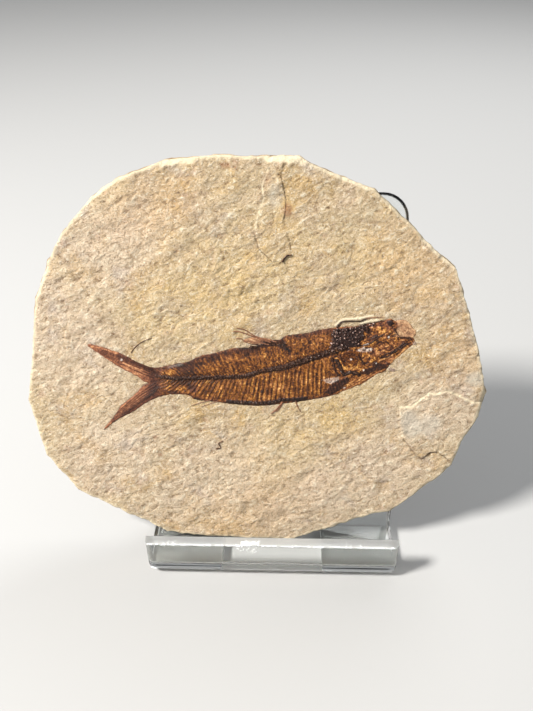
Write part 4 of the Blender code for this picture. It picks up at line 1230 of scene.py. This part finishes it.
    def head(self):
        """Crumbled bone, the round gill cover, the stringy throat, and the streaks and spots over them."""
        x, y, mottle, crumb = self.x, self.y, self.mottle, self.crumb
        head = fade(x, 16.0, 17.5) * self.body
        strands = SCALE.layered((x * 0.88 + y * 0.47) / 1.9 + 12, (y * 0.88 - x * 0.47) / 0.55, 3)
        self.paint("tone", head, 0.44 + 0.18 * mottle + 0.16 * self.blots + 0.22 * crumb + 0.28 * strands)
        away = np.hypot(x - GILL_COVER[0], y - GILL_COVER[1])
        gill = 1 - fade(away, GILL_RADIUS, 3.1)
        self.paint("tone", gill * 0.9, 0.30 + 0.05 * self.blots + 0.10 * crumb)
        rim = self.spot(GILL_COVER, (3.4, 3.4), 0, 0.15) * fade(away, GILL_RADIUS, 2.7)
        self.paint("tone", rim * 0.75 * fade(61.6 - y, 0.0, 1.5), 0.80 + 0.1 * mottle)
        throat = fade(x, 19.5, 22.0) * (1 - fade(y - self.low, 2.2, 3.6)) * head * (1 - fade(x, 31.0, 34.5))
        strings = 0.5 + 0.5 * np.cos((y - 0.62 * x) * 2 * math.pi / 0.85 + 1.2 * mottle)
        self.paint("tone", throat * 0.9, 0.74 - 0.28 * strings + 0.16 * mottle)
        self.paint("rust", throat * 0.8, 0.45)
        for centre, radius in HEAD_LIGHTS:
            spot = self.spot(centre, (radius * 1.2, radius), 0.5, 0.6)
            self.paint("tone", spot * fade(crumb + 0.5 * mottle, -0.7, 0.3) * 0.62, 0.84)
        for line, half, target in HEAD_STREAKS:
            off = distance(x, y, line)
            streak = fade(self.line(line, half * 1.1, 0.2) + 0.35 * crumb, 0.15, 0.6)
            self.paint("tone", streak * (off < half + 0.6) * 0.95, target)
            self.rise += 0.14 * (1 - fade(off, 0.0, half * 1.5)) * fade(self.edge, 0.0, 0.4)
        light = most(self.line(*jaw) for jaw in JAW_LIGHTS) * 0.8
        self.paint("tone", light * self.body, 0.95)
        self.paint("rust", light, 0.6)
        grainy = crumb * fade(self.edge, 0.1, 0.5)
        self.rise += 0.09 * grainy * (0.35 + 0.65 * head) * (1 - 0.8 * self.in_tail) + 0.22 * gill
        self.rise += 0.12 * throat * (0.5 - strings) + 0.07 * strands * head * fade(self.edge, 0.1, 0.5)
        self.values["gloss"] = self.values["gloss"] + gill

    def dark_bones(self):
        """Skull, jaw, the knob above the snout and the breast fin, darkest of all."""
        mottle = self.mottle
        skull, jaw = self.patch(SKULL, 0.25 * mottle), self.patch(JAW_BLOTCH, 0.3 * mottle)
        knob, fin = self.patch(KNOB), self.patch(BREAST_FIN, 0.2 * mottle)
        comb = 0.5 + 0.5 * np.cos((self.x + 0.35 * (self.y - 50)) * 2 * math.pi / 0.95)
        self.paint("tone", skull, 0.02 + 0.06 * np.abs(mottle))
        self.paint("tone", jaw * 0.9, 0.06 + 0.22 * np.maximum(self.crumb, 0.0))
        self.paint("tone", knob, 0.0)
        self.paint("tone", fin * 0.9, 0.03 + 0.20 * comb)
        self.paint("rust", most((skull, jaw, fin)), 0.35)
        self.values.update(crowd=skull + 0.10 * jaw, gloss=self.values["gloss"] + 0.6 * jaw)
        self.rise += 0.24 * skull + 0.20 * jaw + 0.30 * knob + 0.14 * fin + 0.08 * comb * fin

    def skins(self):
        """Thin skin at the snout and between the back fin's rays, and the dark clump at that fin's root."""
        x, y, body, mottle = self.x, self.y, self.body, self.mottle
        thinning = 1 - fade(distance(x, y, FISH_LOOPS[4][::2], closed=True), 0.1, 1.1)
        front = fade(x - 0.35 * (y - 70), 34.5, 37.0) * fade(y, 67.4, 68.6)
        threads = MOTTLE(x / 3.2, (y + 0.36 * x) / 0.42)
        torn = 0.04 + 0.14 * fade(-x, 2.0, 8.0) + 0.5 * fade(threads, 0.0, 0.45)
        veil = most((np.where(self.snout_skin & ~body, 0.30 + 0.30 * thinning + 0.22 * mottle, 0.0),
                     np.where(self.fin_skin & ~body, torn, 0.0), 0.66 * front * body))
        skin = (self.fin_skin | self.snout_skin | (front > 0.3)) & ~(body & (front < 0.3))
        clump = self.line(BACK_FIN_ROOTS, 0.75, 0.7) * fade(mottle + 0.7 * self.crumb, -0.8, -0.1)
        self.paint("tone", skin * 0.8, 0.50 + 0.22 * mottle + 0.26 * self.crumb)
        self.paint("rust", skin * 1.0, 0.9)
        self.paint("tone", clump, 0.0)
        self.values["veil"] = veil * (1 - clump)

    def pale_marks(self):
        """The silvery patches, the painted sheen on the breast fin, white dots and painted glints, and short
        pale lines.
        """
        torn = fade(self.mottle + 0.8 * self.crumb, -0.7, 0.5) * 0.9
        pale = [self.patch(SILVER_PATCH, 0.35 * self.mottle) * torn,
                self.patch(FIN_SHEEN, 0.2 * self.mottle) * (0.42 + 0.3 * self.mottle),
                self.spot((20.9, 51.9), (0.35, 0.25)) * 0.9]
        pale += [self.spot(centre, (radius, radius), 0, 0.3) for centre, radius in WHITE_DOTS_AND_GLINTS]
        pale += [self.line(line, half, soft) * strength for line, half, soft, strength in PALE_LINES]
        self.values["pale"] = most(pale)


def film_height(x, y):
    return Film(np.atleast_1d(np.asarray(x, float)), np.atleast_1d(np.asarray(y, float))).rise


FILM_FOOT = -0.38                     # how deep the film's flat underside lies in the stone
BONE_SPACING, SKIN_SPACING = 0.2, 0.3


def make_film(material):
    """The fish's body, tail lobes and skins as one closed film sunk a little into the stone."""
    rng = np.random.default_rng(14)
    seeds = [scattered(loop, BONE_SPACING, 0.12, 0.03, rng) for loop in FISH_LOOPS[:3]]
    seeds += [scattered(loop, SKIN_SPACING, 0.12, 0.03, rng) for loop in FISH_LOOPS[3:]]
    flat, faces, _ = triangulate(FISH_LOOPS, np.vstack(seeds))
    used = np.unique(faces)
    flat, faces = flat[used], np.searchsorted(used, faces)
    top = Film(*flat.T)
    along, across = turned(*flat.T, GRAIN_TURN)
    rise = top.rise + 0.15 * SWELL(along / 7.5 + 40, across / 4.2) * 0.35

    sides = np.sort(np.vstack([faces[:, [0, 1]], faces[:, [1, 2]], faces[:, [2, 0]]]), axis=1)
    pairs, times = np.unique(sides, axis=0, return_counts=True)
    rim = pairs[times == 1]
    rise[np.unique(rim)] -= 0.05
    base_flat, base_faces, _ = triangulate(FISH_LOOPS, np.zeros((0, 2)))
    under = {tuple(place): len(flat) + k for k, place in enumerate(base_flat.round(3))}
    walls = []
    for a, b in rim:
        under_a, under_b = (under.get(tuple(flat[k].round(3))) for k in (a, b))
        if under_a is not None and under_b is not None:
            walls.append((a, b, under_b, under_a))
    foot = np.full(len(base_flat), FILM_FOOT)
    verts = np.vstack([np.column_stack([flat, rise]), np.column_stack([base_flat, foot])])
    faces = [*faces, *walls, *(base_faces + len(flat))]
    piece = new_piece("bone_film", verts, faces, BED, [material])
    face_outwards(piece)
    base = Film(*base_flat.T)
    give_values(piece, {name: np.r_[numbers, base.values[name]] for name, numbers in top.values.items()})
    return piece


ARCHES_FROM, ARCHES_TO, ARCH_PITCH = -33.0, 15.0, 0.85        # the arches that stand on the spine
ROOTS_FROM, ROOTS_TO, ROOT_COUNT = -7.5, 2.8, 26      # the dark strands at the back fin's root
CURL_RADIUS, CURL_POINTS = 0.36, 12
SPINE_STRANDS = [(0.0, 0.32, 0.00084), (0.46, 0.28, 0.00074), (-0.48, 0.28, 0.00078)]  # shift, bead, pitch
SKULL_SPACING = 0.35


def laid(line, rise, step=0.5):
    """A smooth line of x, y, z rows that lies on the fish."""
    line = stepped(smooth_curve(line, 6), step)
    return np.column_stack([line, film_height(*line.T) + rise])


def taper(count, half_width, tip=0.3):
    """Half widths that thin evenly from the root to a share of it at the tip."""
    return half_width * np.linspace(1.0, tip, count)


def thin_bones(rng):
    """Lines of the fin rays on the stone, and of the dark strands, arches and streaks."""
    rays, dark = [], []
    for made, drawn in ((rays, FIN_RAYS), (dark, CREST_STRANDS)):
        for line, width in drawn:
            rows = laid(line, 0.0, 0.4)
            away = fish_distance(*rows[:, :2].T)
            rows[:, 2] = np.where(away > -0.1, stone_level(*rows[:, :2].T) + 0.10, rows[:, 2])
            made.append((rows, taper(len(rows), width / 2, 0.5) * rng.uniform(0.75, 1.1, len(rows))))
    for root_x in np.arange(ARCHES_FROM, ARCHES_TO, ARCH_PITCH):
        root_y = float(spine_height(root_x))
        for side in (-1, 1):
            reach = rng.uniform(1.0, 2.1)
            rows = laid([(root_x, root_y), (root_x - 0.45 * reach, root_y + side * 0.7 * reach),
                         (root_x - 0.8 * reach, root_y + side * reach)], 0.0, 0.3)
            dark.append((rows, taper(len(rows), rng.uniform(0.12, 0.20), 0.4)))
    for x in rng.uniform(ROOTS_FROM, ROOTS_TO, ROOT_COUNT):
        y = np.interp(x, *np.array(BACK_FIN_ROOTS).T) + rng.uniform(-0.6, 0.4)
        line = [(x, y), (x + 0.8, y + rng.uniform(-0.3, 0.3)), (x + 1.7, y + rng.uniform(-0.6, 0.4))]
        rows = laid(line, 0.0, 0.3)
        dark.append((rows, taper(len(rows), 0.16, 0.4)))
    for line, half, _ in HEAD_STREAKS:
        rows = laid(line, -0.06, 0.4)
        dark.append((rows, half * 0.7 * rng.uniform(0.35, 1.3, len(rows))))
    for line in TAIL_RAYS:
        rows = laid(line, -0.03, 0.5)
        dark.append((rows, taper(len(rows), 0.10, 0.4) * rng.uniform(0.5, 1.1, len(rows))))
    return rays, dark


def curled_skin():
    """Lines of the small rings of skin by the jaw and the snout."""
    lines = []
    for x, y in CURLS:
        angle = np.linspace(0.0, 1.7 * math.pi, CURL_POINTS) + x
        radius = CURL_RADIUS + 0.10 * np.cos(angle)
        rise = np.full(CURL_POINTS, 0.10)
        rows = np.column_stack([x + radius * np.cos(angle), y + radius * np.sin(angle), rise])
        lines.append((rows, 0.11))
    return lines


def ribs(rng, points=14):
    """Lines of the ribs, half sunk in the film: long ones below the spine, short ones above its rear."""
    lines = []
    for k in range(int((RIBS_TO - RIBS_FROM) / RIB_PITCH) + 1):
        root_x = RIBS_FROM + k * RIB_PITCH
        for side, reach, half in ((-1, 0.86, 0.17), (1, 0.62, 0.13)):
            if side > 0 and root_x > -7.0:
                continue
            share = np.linspace(0.12, reach * rng.uniform(0.8, 1.05), points)
            shift = rng.uniform(-0.15, 0.15)
            flat = np.array([rib_point(root_x + shift, side * s) for s in share])
            flat += rng.uniform(-0.06, 0.06, flat.shape)
            sunk = 0.13 + 0.05 * TINT(share * 2.4 + 5.3 * k, np.full(points, 3.0 * side))
            rows = np.column_stack([flat, film_height(*flat.T) - sunk])
            lines.append((rows, taper(points, half * rng.uniform(0.7, 1.1), 0.55)))
    return lines


def spine_and_scutes(beads, rng):
    """Three strands of beads along the spine, and one along the belly."""
    pieces = []
    rows = laid([(-34.5, 54.9)] + SPINE[1:], -0.12, 0.4)
    swelling = np.interp(rows[:, 0], (-34.0, -10.0, 8.0), (0.45, 0.6, 1.0))
    for shift, bead, pitch in SPINE_STRANDS:
        strand = rows + np.array([0.0, shift, 0.0]) * swelling[:, None]
        strand[:, :2] += rng.uniform(-0.2, 0.2, (len(rows), 2))
        guide = guide_lines("spine_line", [(strand, bead * (0.35 + 0.65 * swelling))])
        pieces.append(grow("spine_beads", beads, guide, {"Pitch": pitch, "Unevenness": 0.65, "Length": 1.3}))
    rows = laid(SCUTES, -0.12, 0.4)
    swelling = np.interp(np.linspace(0, 1, len(rows)), (0.0, 0.2, 0.7, 1.0), (0.4, 1.0, 0.8, 0.2))
    guide = guide_lines("scute_line", [(rows, 0.34 * swelling * rng.uniform(0.7, 1.1, len(rows)))])
    return pieces + [grow("belly_scutes", beads, guide, {"Pitch": 0.0011, "Length": 2.0})]


def skull_bumps(pimples, rng):
    """Small bumps crowded over the skull."""
    flat, faces, _ = triangulate([np.array(SKULL)], scattered(np.array(SKULL), SKULL_SPACING, 0.0, 0.05, rng))
    patch = new_piece("skull_patch", np.column_stack([flat, film_height(*flat.T) - 0.08]), faces, BED)
    give_values(patch, {"crowd": np.ones(len(flat))})
    return grow("skull_bumps", pimples, patch, {"Spacing": 0.00078, "Bump": 0.00055})


def make_fish(dark_bone, rib_bone):
    """The film, and everything that stands on it, as one piece."""
    rng = np.random.default_rng(15)
    pieces = [make_film(fossil_bone())]
    rays, dark = thin_bones(rng)
    for name, material, lines in (("thin_bones", dark_bone, dark), ("ribs", rib_bone, ribs(rng)),
                                  ("fin_rays", small_bone("rusty_ray"), rays),
                                  ("curled_skin", small_bone("dried_skin"), curled_skin())):
        pieces.append(grow(name, swept_rods(material), guide_lines(name + "_lines", lines)))
    pieces += spine_and_scutes(beads_on_a_path(dark_bone, 3), rng)
    pieces.append(skull_bumps(pimples_on_a_patch(small_bone("bumpy_bone"), 5), rng))
    return join(pieces, "fossil_fish")


LOOSE_BONES = {                       # line, half width, and how far the tip thins
    "loose_ray": ([(-41.9, 61.9), (-40.4, 63.8), (-38.2, 65.5), (-35.5, 66.6)], 0.15, 0.7),
    "loose_bone": ([(2.2, 89.2), (3.4, 90.9), (4.9, 91.2)], 0.34, 0.6),
    "loose_sliver": ([(-17.4, 31.4), (-16.0, 31.7), (-16.6, 33.3), (-15.2, 34.1)], 0.2, 0.6),
}


def make_loose_bone(name, material):
    """One bone that lies on the stone by itself."""
    line, half_width, tip = LOOSE_BONES[name]
    rows = stepped(smooth_curve(line, 6), 0.3)
    rows = np.column_stack([rows, stone_level(*rows.T) + 0.45 * half_width])
    guide = guide_lines(name, [(rows, taper(len(rows), half_width, tip))])
    return grow(name + "_rod", swept_rods(material), guide)


# ---------------------------------------------------------------- the easel

BEND_STEP, SHARP_ANGLE = math.radians(6), math.radians(35)
CORNER_STEPS, ROUND_STEPS = 8, 6
SLAB_GAP = 0.3                        # between the stone's back and the sheet


class SheetPath:
    """The middle of the bent sheet in side view, walked from one station to the next."""

    def __init__(self, y, z, heading):
        self.y, self.z, self.heading = y, z, heading
        self.stations = [(y, z, heading)]

    def step(self, length):
        self.y += math.cos(self.heading) * length
        self.z += math.sin(self.heading) * length

    def straight(self, length):
        self.step(length)
        self.stations.append((self.y, self.z, self.heading))

    def bend(self, radius, angle):
        steps = max(2, round(abs(angle) / BEND_STEP))
        half_turn = angle / steps / 2
        for _ in range(steps):
            self.heading += half_turn
            self.step(2 * radius * math.sin(abs(half_turn)))
            self.heading += half_turn
            self.stations.append((self.y, self.z, self.heading))


def easel_paths():
    """Stations of the whole sheet and of the tongue, with the rows where window, hinge and crown begin."""
    half = SHEET / 2
    back_turn = math.pi / 2 - LEAN
    back_gap = STONE_THICK + SLAB_GAP + half
    back_y = BED_FOOT[0] + back_gap * math.cos(LEAN)
    back_z = BED_FOOT[1] - back_gap * math.sin(LEAN)
    ledge_end = back_y + (half - back_z) * math.tan(LEAN)
    bend_trim = BEND_RADIUS * math.tan(back_turn / 2)

    sheet = SheetPath(half, LIP_HEIGHT, -math.pi / 2)
    sheet.straight(LIP_HEIGHT - half - BEND_RADIUS)
    sheet.bend(BEND_RADIUS, math.pi / 2)
    window_row = len(sheet.stations) - 1
    sheet.straight(ledge_end - half - BEND_RADIUS - bend_trim)
    sheet.bend(BEND_RADIUS, back_turn)
    sheet.straight(HINGE_UP)
    hinge_row = len(sheet.stations) - 1
    sheet.straight((BACK_REACH - half * math.sin(LEAN) - sheet.z) / math.cos(LEAN) - TOP_CORNER)
    crown_row = len(sheet.stations) - 1
    for k in range(CORNER_STEPS):
        turn = math.pi / 2 / CORNER_STEPS
        sheet.straight(TOP_CORNER * (math.sin((k + 1) * turn) - math.sin(k * turn)))

    hinge_y, hinge_z, _ = sheet.stations[hinge_row]
    tongue = SheetPath(hinge_y, hinge_z, -math.pi / 2 - LEAN)
    tongue.bend(TONGUE_BEND_RADIUS, LEAN + TONGUE_SWING)
    tongue.straight((tongue.z - half * math.sin(TONGUE_SWING)) / math.cos(TONGUE_SWING))
    return sheet.stations, tongue.stations, window_row, hinge_row, crown_row


def make_sheet(clear, cut):
    """The clear sheet: lip, ledge and back in one, with the tongue bent out of it as the leg."""
    sheet, tongue, window_row, hinge_row, crown_row = easel_paths()
    half_width = EASEL_WIDTH / 2
    bm = bmesh.new()
    outer_of = {}

    def row(station, places, flip=1):
        """The sheet's inner vertices across a station, each with a partner on the outer side."""
        y, z, heading = station
        through = Vector((0.0, -math.sin(heading), math.cos(heading))) * (SHEET / 2 * flip)
        inner = [bm.verts.new(Vector((x, y, z)) + through) for x in places]
        for vert in inner:
            outer_of[vert] = bm.verts.new(vert.co - 2 * through)
        return inner

    def panel(below, above, column):
        """The inner and the outer face of the sheet between two rows."""
        corners = [below[column], below[column + 1], above[column + 1], above[column]]
        bm.faces.new(corners)
        bm.faces.new([outer_of[corner] for corner in reversed(corners)])

    rows = []
    for k, station in enumerate(sheet):
        turn = max(k - crown_row, 0) * math.pi / 2 / CORNER_STEPS
        edge = half_width - TOP_CORNER * (1 - math.cos(turn))
        rows.append(row(station, (-edge, -WINDOW_HALF, WINDOW_HALF, edge)))
    for k in range(len(rows) - 1):
        for column in range(3):
            if column != 1 or not window_row <= k < hinge_row:
                panel(rows[k], rows[k + 1], column)
    above = rows[hinge_row][1:3]
    for station in tongue[1:]:
        below = row(station, (-TONGUE_HALF, TONGUE_HALF), flip=-1)
        panel(below, above, 0)
        above = below

    for edge in [edge for edge in bm.edges if edge.is_boundary and edge.verts[0] in outer_of]:
        a, b = edge.verts
        bm.faces.new([a, b, outer_of[b], outer_of[a]]).material_index = 1
    crown = {outer_of[vert] for vert in rows[-1]}
    outside = crown | {outer_of[vert] for line in rows for vert in (line[0], line[-1])}

    def runs_round(edge):
        """Whether an edge belongs to the outer rim, and doesn't cross the sheet."""
        a, b = edge.verts
        return {a, b} <= crown or {a, b} <= outside and abs(a.co.x - b.co.x) < TOP_CORNER

    rounded = [edge for edge in bm.edges if runs_round(edge)]
    bmesh.ops.recalc_face_normals(bm, faces=bm.faces)
    bmesh.ops.bevel(bm, geom=rounded, offset=EASEL_ROUND, segments=ROUND_STEPS, profile=0.5, affect="EDGES")
    bmesh.ops.remove_doubles(bm, verts=bm.verts, dist=1e-4)
    bmesh.ops.recalc_face_normals(bm, faces=bm.faces)
    bmesh.ops.transform(bm, matrix=EASEL, verts=bm.verts)
    mesh = bpy.data.meshes.new("clear_sheet")
    bm.to_mesh(mesh)
    bm.free()
    mesh.materials.append(clear)
    mesh.materials.append(cut)
    mesh.shade_smooth()
    mesh.set_sharp_from_angle(angle=SHARP_ANGLE)
    return placed("clear_sheet", mesh)

LIP_LINES = [(0.10, 0.20, 0.0004), (0.35, 0.15, 0.0006)]      # drop from the lip's top, bead and pitch
LIP_SCUFFS = [                        # count, middle and spread of each group of scuffs
    (60, (-6.6, 1.3, LIP_HEIGHT), (2.6, 0.5, 0.02)),
    (16, (-8.0, 0.0, LIP_HEIGHT - 1.9), (3.4, 0.02, 0.9)),
    (7, (25.0, 1.2, LIP_HEIGHT), (3.0, 0.6, 0.02)),
    (6, (-31.0, 1.2, LIP_HEIGHT), (3.0, 0.6, 0.02)),
]


def make_lip_chips(material):
    """The row of bright chips broken out of the lip's front top edge, and the scuffs near it."""
    rng = np.random.default_rng(41)
    half = EASEL_WIDTH / 2 - 1.0
    tree = beads_on_a_path(material, 9)
    pieces = []
    for drop, bead, pitch in LIP_LINES:
        x = np.arange(-half, half, 0.8)
        y = 0.16 + rng.uniform(-0.05, 0.10, len(x))
        z = LIP_HEIGHT - drop + rng.uniform(-0.08, 0.04, len(x))
        guide = guide_lines("lip_edge", [(np.column_stack([x, y, z]), bead)], EASEL)
        pieces.append(grow("lip_chips", tree, guide, {"Pitch": pitch, "Unevenness": 0.8, "Length": 1.6}))
    for count, middle, spread in LIP_SCUFFS:
        starts = np.array(middle) + rng.uniform(-1, 1, (count, 3)) * spread
        turns = rng.uniform(-0.7, 0.7, (count, 3)) * np.array([1.0, *(np.array(spread[1:]) > 0.1)])
        scuffs = [(np.array([start, start + turn]), 0.10) for start, turn in zip(starts, turns)]
        guide = guide_lines("scuffs", scuffs, EASEL)
        pieces.append(grow("lip_scuffs", tree, guide, {"Pitch": 0.0004, "Length": 2.2}))
    return join(pieces, "lip_chips")


# ---------------------------------------------------------------- camera, light and floor

CAMERA_PLACE = (8.43, -174.75, 186.73)
CAMERA_PITCH, CAMERA_ROLL, CAMERA_YAW = (math.radians(angle) for angle in (35.916, 0.354, -1.692))
LENS, SENSOR_HEIGHT = 36.764, 36.0
LOOKED_AT = Vector((0.0, 0.0, 0.05))  # where the lights point, in metres
WORLD_COLOUR, WORLD_STRENGTH = (0.92, 0.95, 1.0, 1.0), 0.40
FLOOR_COLOUR = (0.36, 0.36, 0.355)
FLOOR_HALF, FLOOR_DROP = 3, 0.0001


def make_camera():
    sine, cosine = math.sin(CAMERA_PITCH), math.cos(CAMERA_PITCH)
    ahead = Vector((math.sin(CAMERA_YAW) * cosine, math.cos(CAMERA_YAW) * cosine, -sine))
    level = Vector((math.cos(CAMERA_YAW), -math.sin(CAMERA_YAW), 0.0))
    below = ahead.cross(level)
    right = level * math.cos(CAMERA_ROLL) + below * math.sin(CAMERA_ROLL)
    down = below * math.cos(CAMERA_ROLL) - level * math.sin(CAMERA_ROLL)
    data = bpy.data.cameras.new("camera")
    data.sensor_fit = "VERTICAL"
    data.sensor_height, data.lens = SENSOR_HEIGHT, LENS
    data.clip_start = 0.01
    camera = placed("camera", data)
    turn = Matrix((right, -down, -ahead)).transposed().to_4x4()
    camera.matrix_world = Matrix.Translation(Vector(CAMERA_PLACE) * MM) @ turn
    bpy.context.scene.camera = camera


def make_light(name, place, size, power, colour=(1.0, 1.0, 1.0)):
    data = bpy.data.lights.new(name, "AREA")
    data.shape = "DISK"
    data.size, data.energy, data.color = size, power, colour
    light = placed(name, data)
    light.location = place
    light.rotation_euler = (LOOKED_AT - Vector(place)).to_track_quat("-Z", "Y").to_euler()


def make_surroundings():
    world = bpy.data.worlds.new("soft_room")
    world.use_nodes = True
    background = world.node_tree.nodes["Background"]
    background.inputs["Color"].default_value = WORLD_COLOUR
    background.inputs["Strength"].default_value = WORLD_STRENGTH
    bpy.context.scene.world = world
    make_light("key", (-0.64, -0.32, 0.80), 0.20, 26.0, (1.0, 0.97, 0.93))
    make_light("fill", (0.30, 0.52, 0.66), 0.50, 4.6)
    corners = [(x * FLOOR_HALF, y * FLOOR_HALF, 0) for x, y in ((-1, -1), (1, -1), (1, 1), (-1, 1))]
    floor = new_piece("floor", corners, [(0, 1, 2, 3)], Matrix.Translation((0, 0, -FLOOR_DROP)),
                      [Graph("pale_floor").finish(FLOOR_COLOUR, 0.9)], smooth=False)
    bpy.context.scene.view_settings.view_transform = "Standard"


def make_display():
    stone = make_stone(limestone())
    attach(stone, "root")
    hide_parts("slab")

    dark_bone, rib_bone = small_bone("dark_bone"), small_bone("rib_bone")
    fish = make_fish(dark_bone, rib_bone)
    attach(fish, "root")
    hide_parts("fish")

    for name, material in (("loose_ray", rib_bone), ("loose_bone", dark_bone), ("loose_sliver", rib_bone)):
        bone = make_loose_bone(name, material)
        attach(bone, "root")
        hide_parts(name)

    sheet = make_sheet(acrylic("clear_acrylic", (0.93, 0.95, 0.94), None, 1.0),
                       acrylic("cut_acrylic", (0.95, 0.97, 0.96), 0.4, 0.8))
    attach(sheet, "root")
    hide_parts("stand")
    chips = make_lip_chips(acrylic("chipped_acrylic", screen(246, 248, 248), 0.3, 0.1))
    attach(chips, "root")


make_display()
make_surroundings()
make_camera()
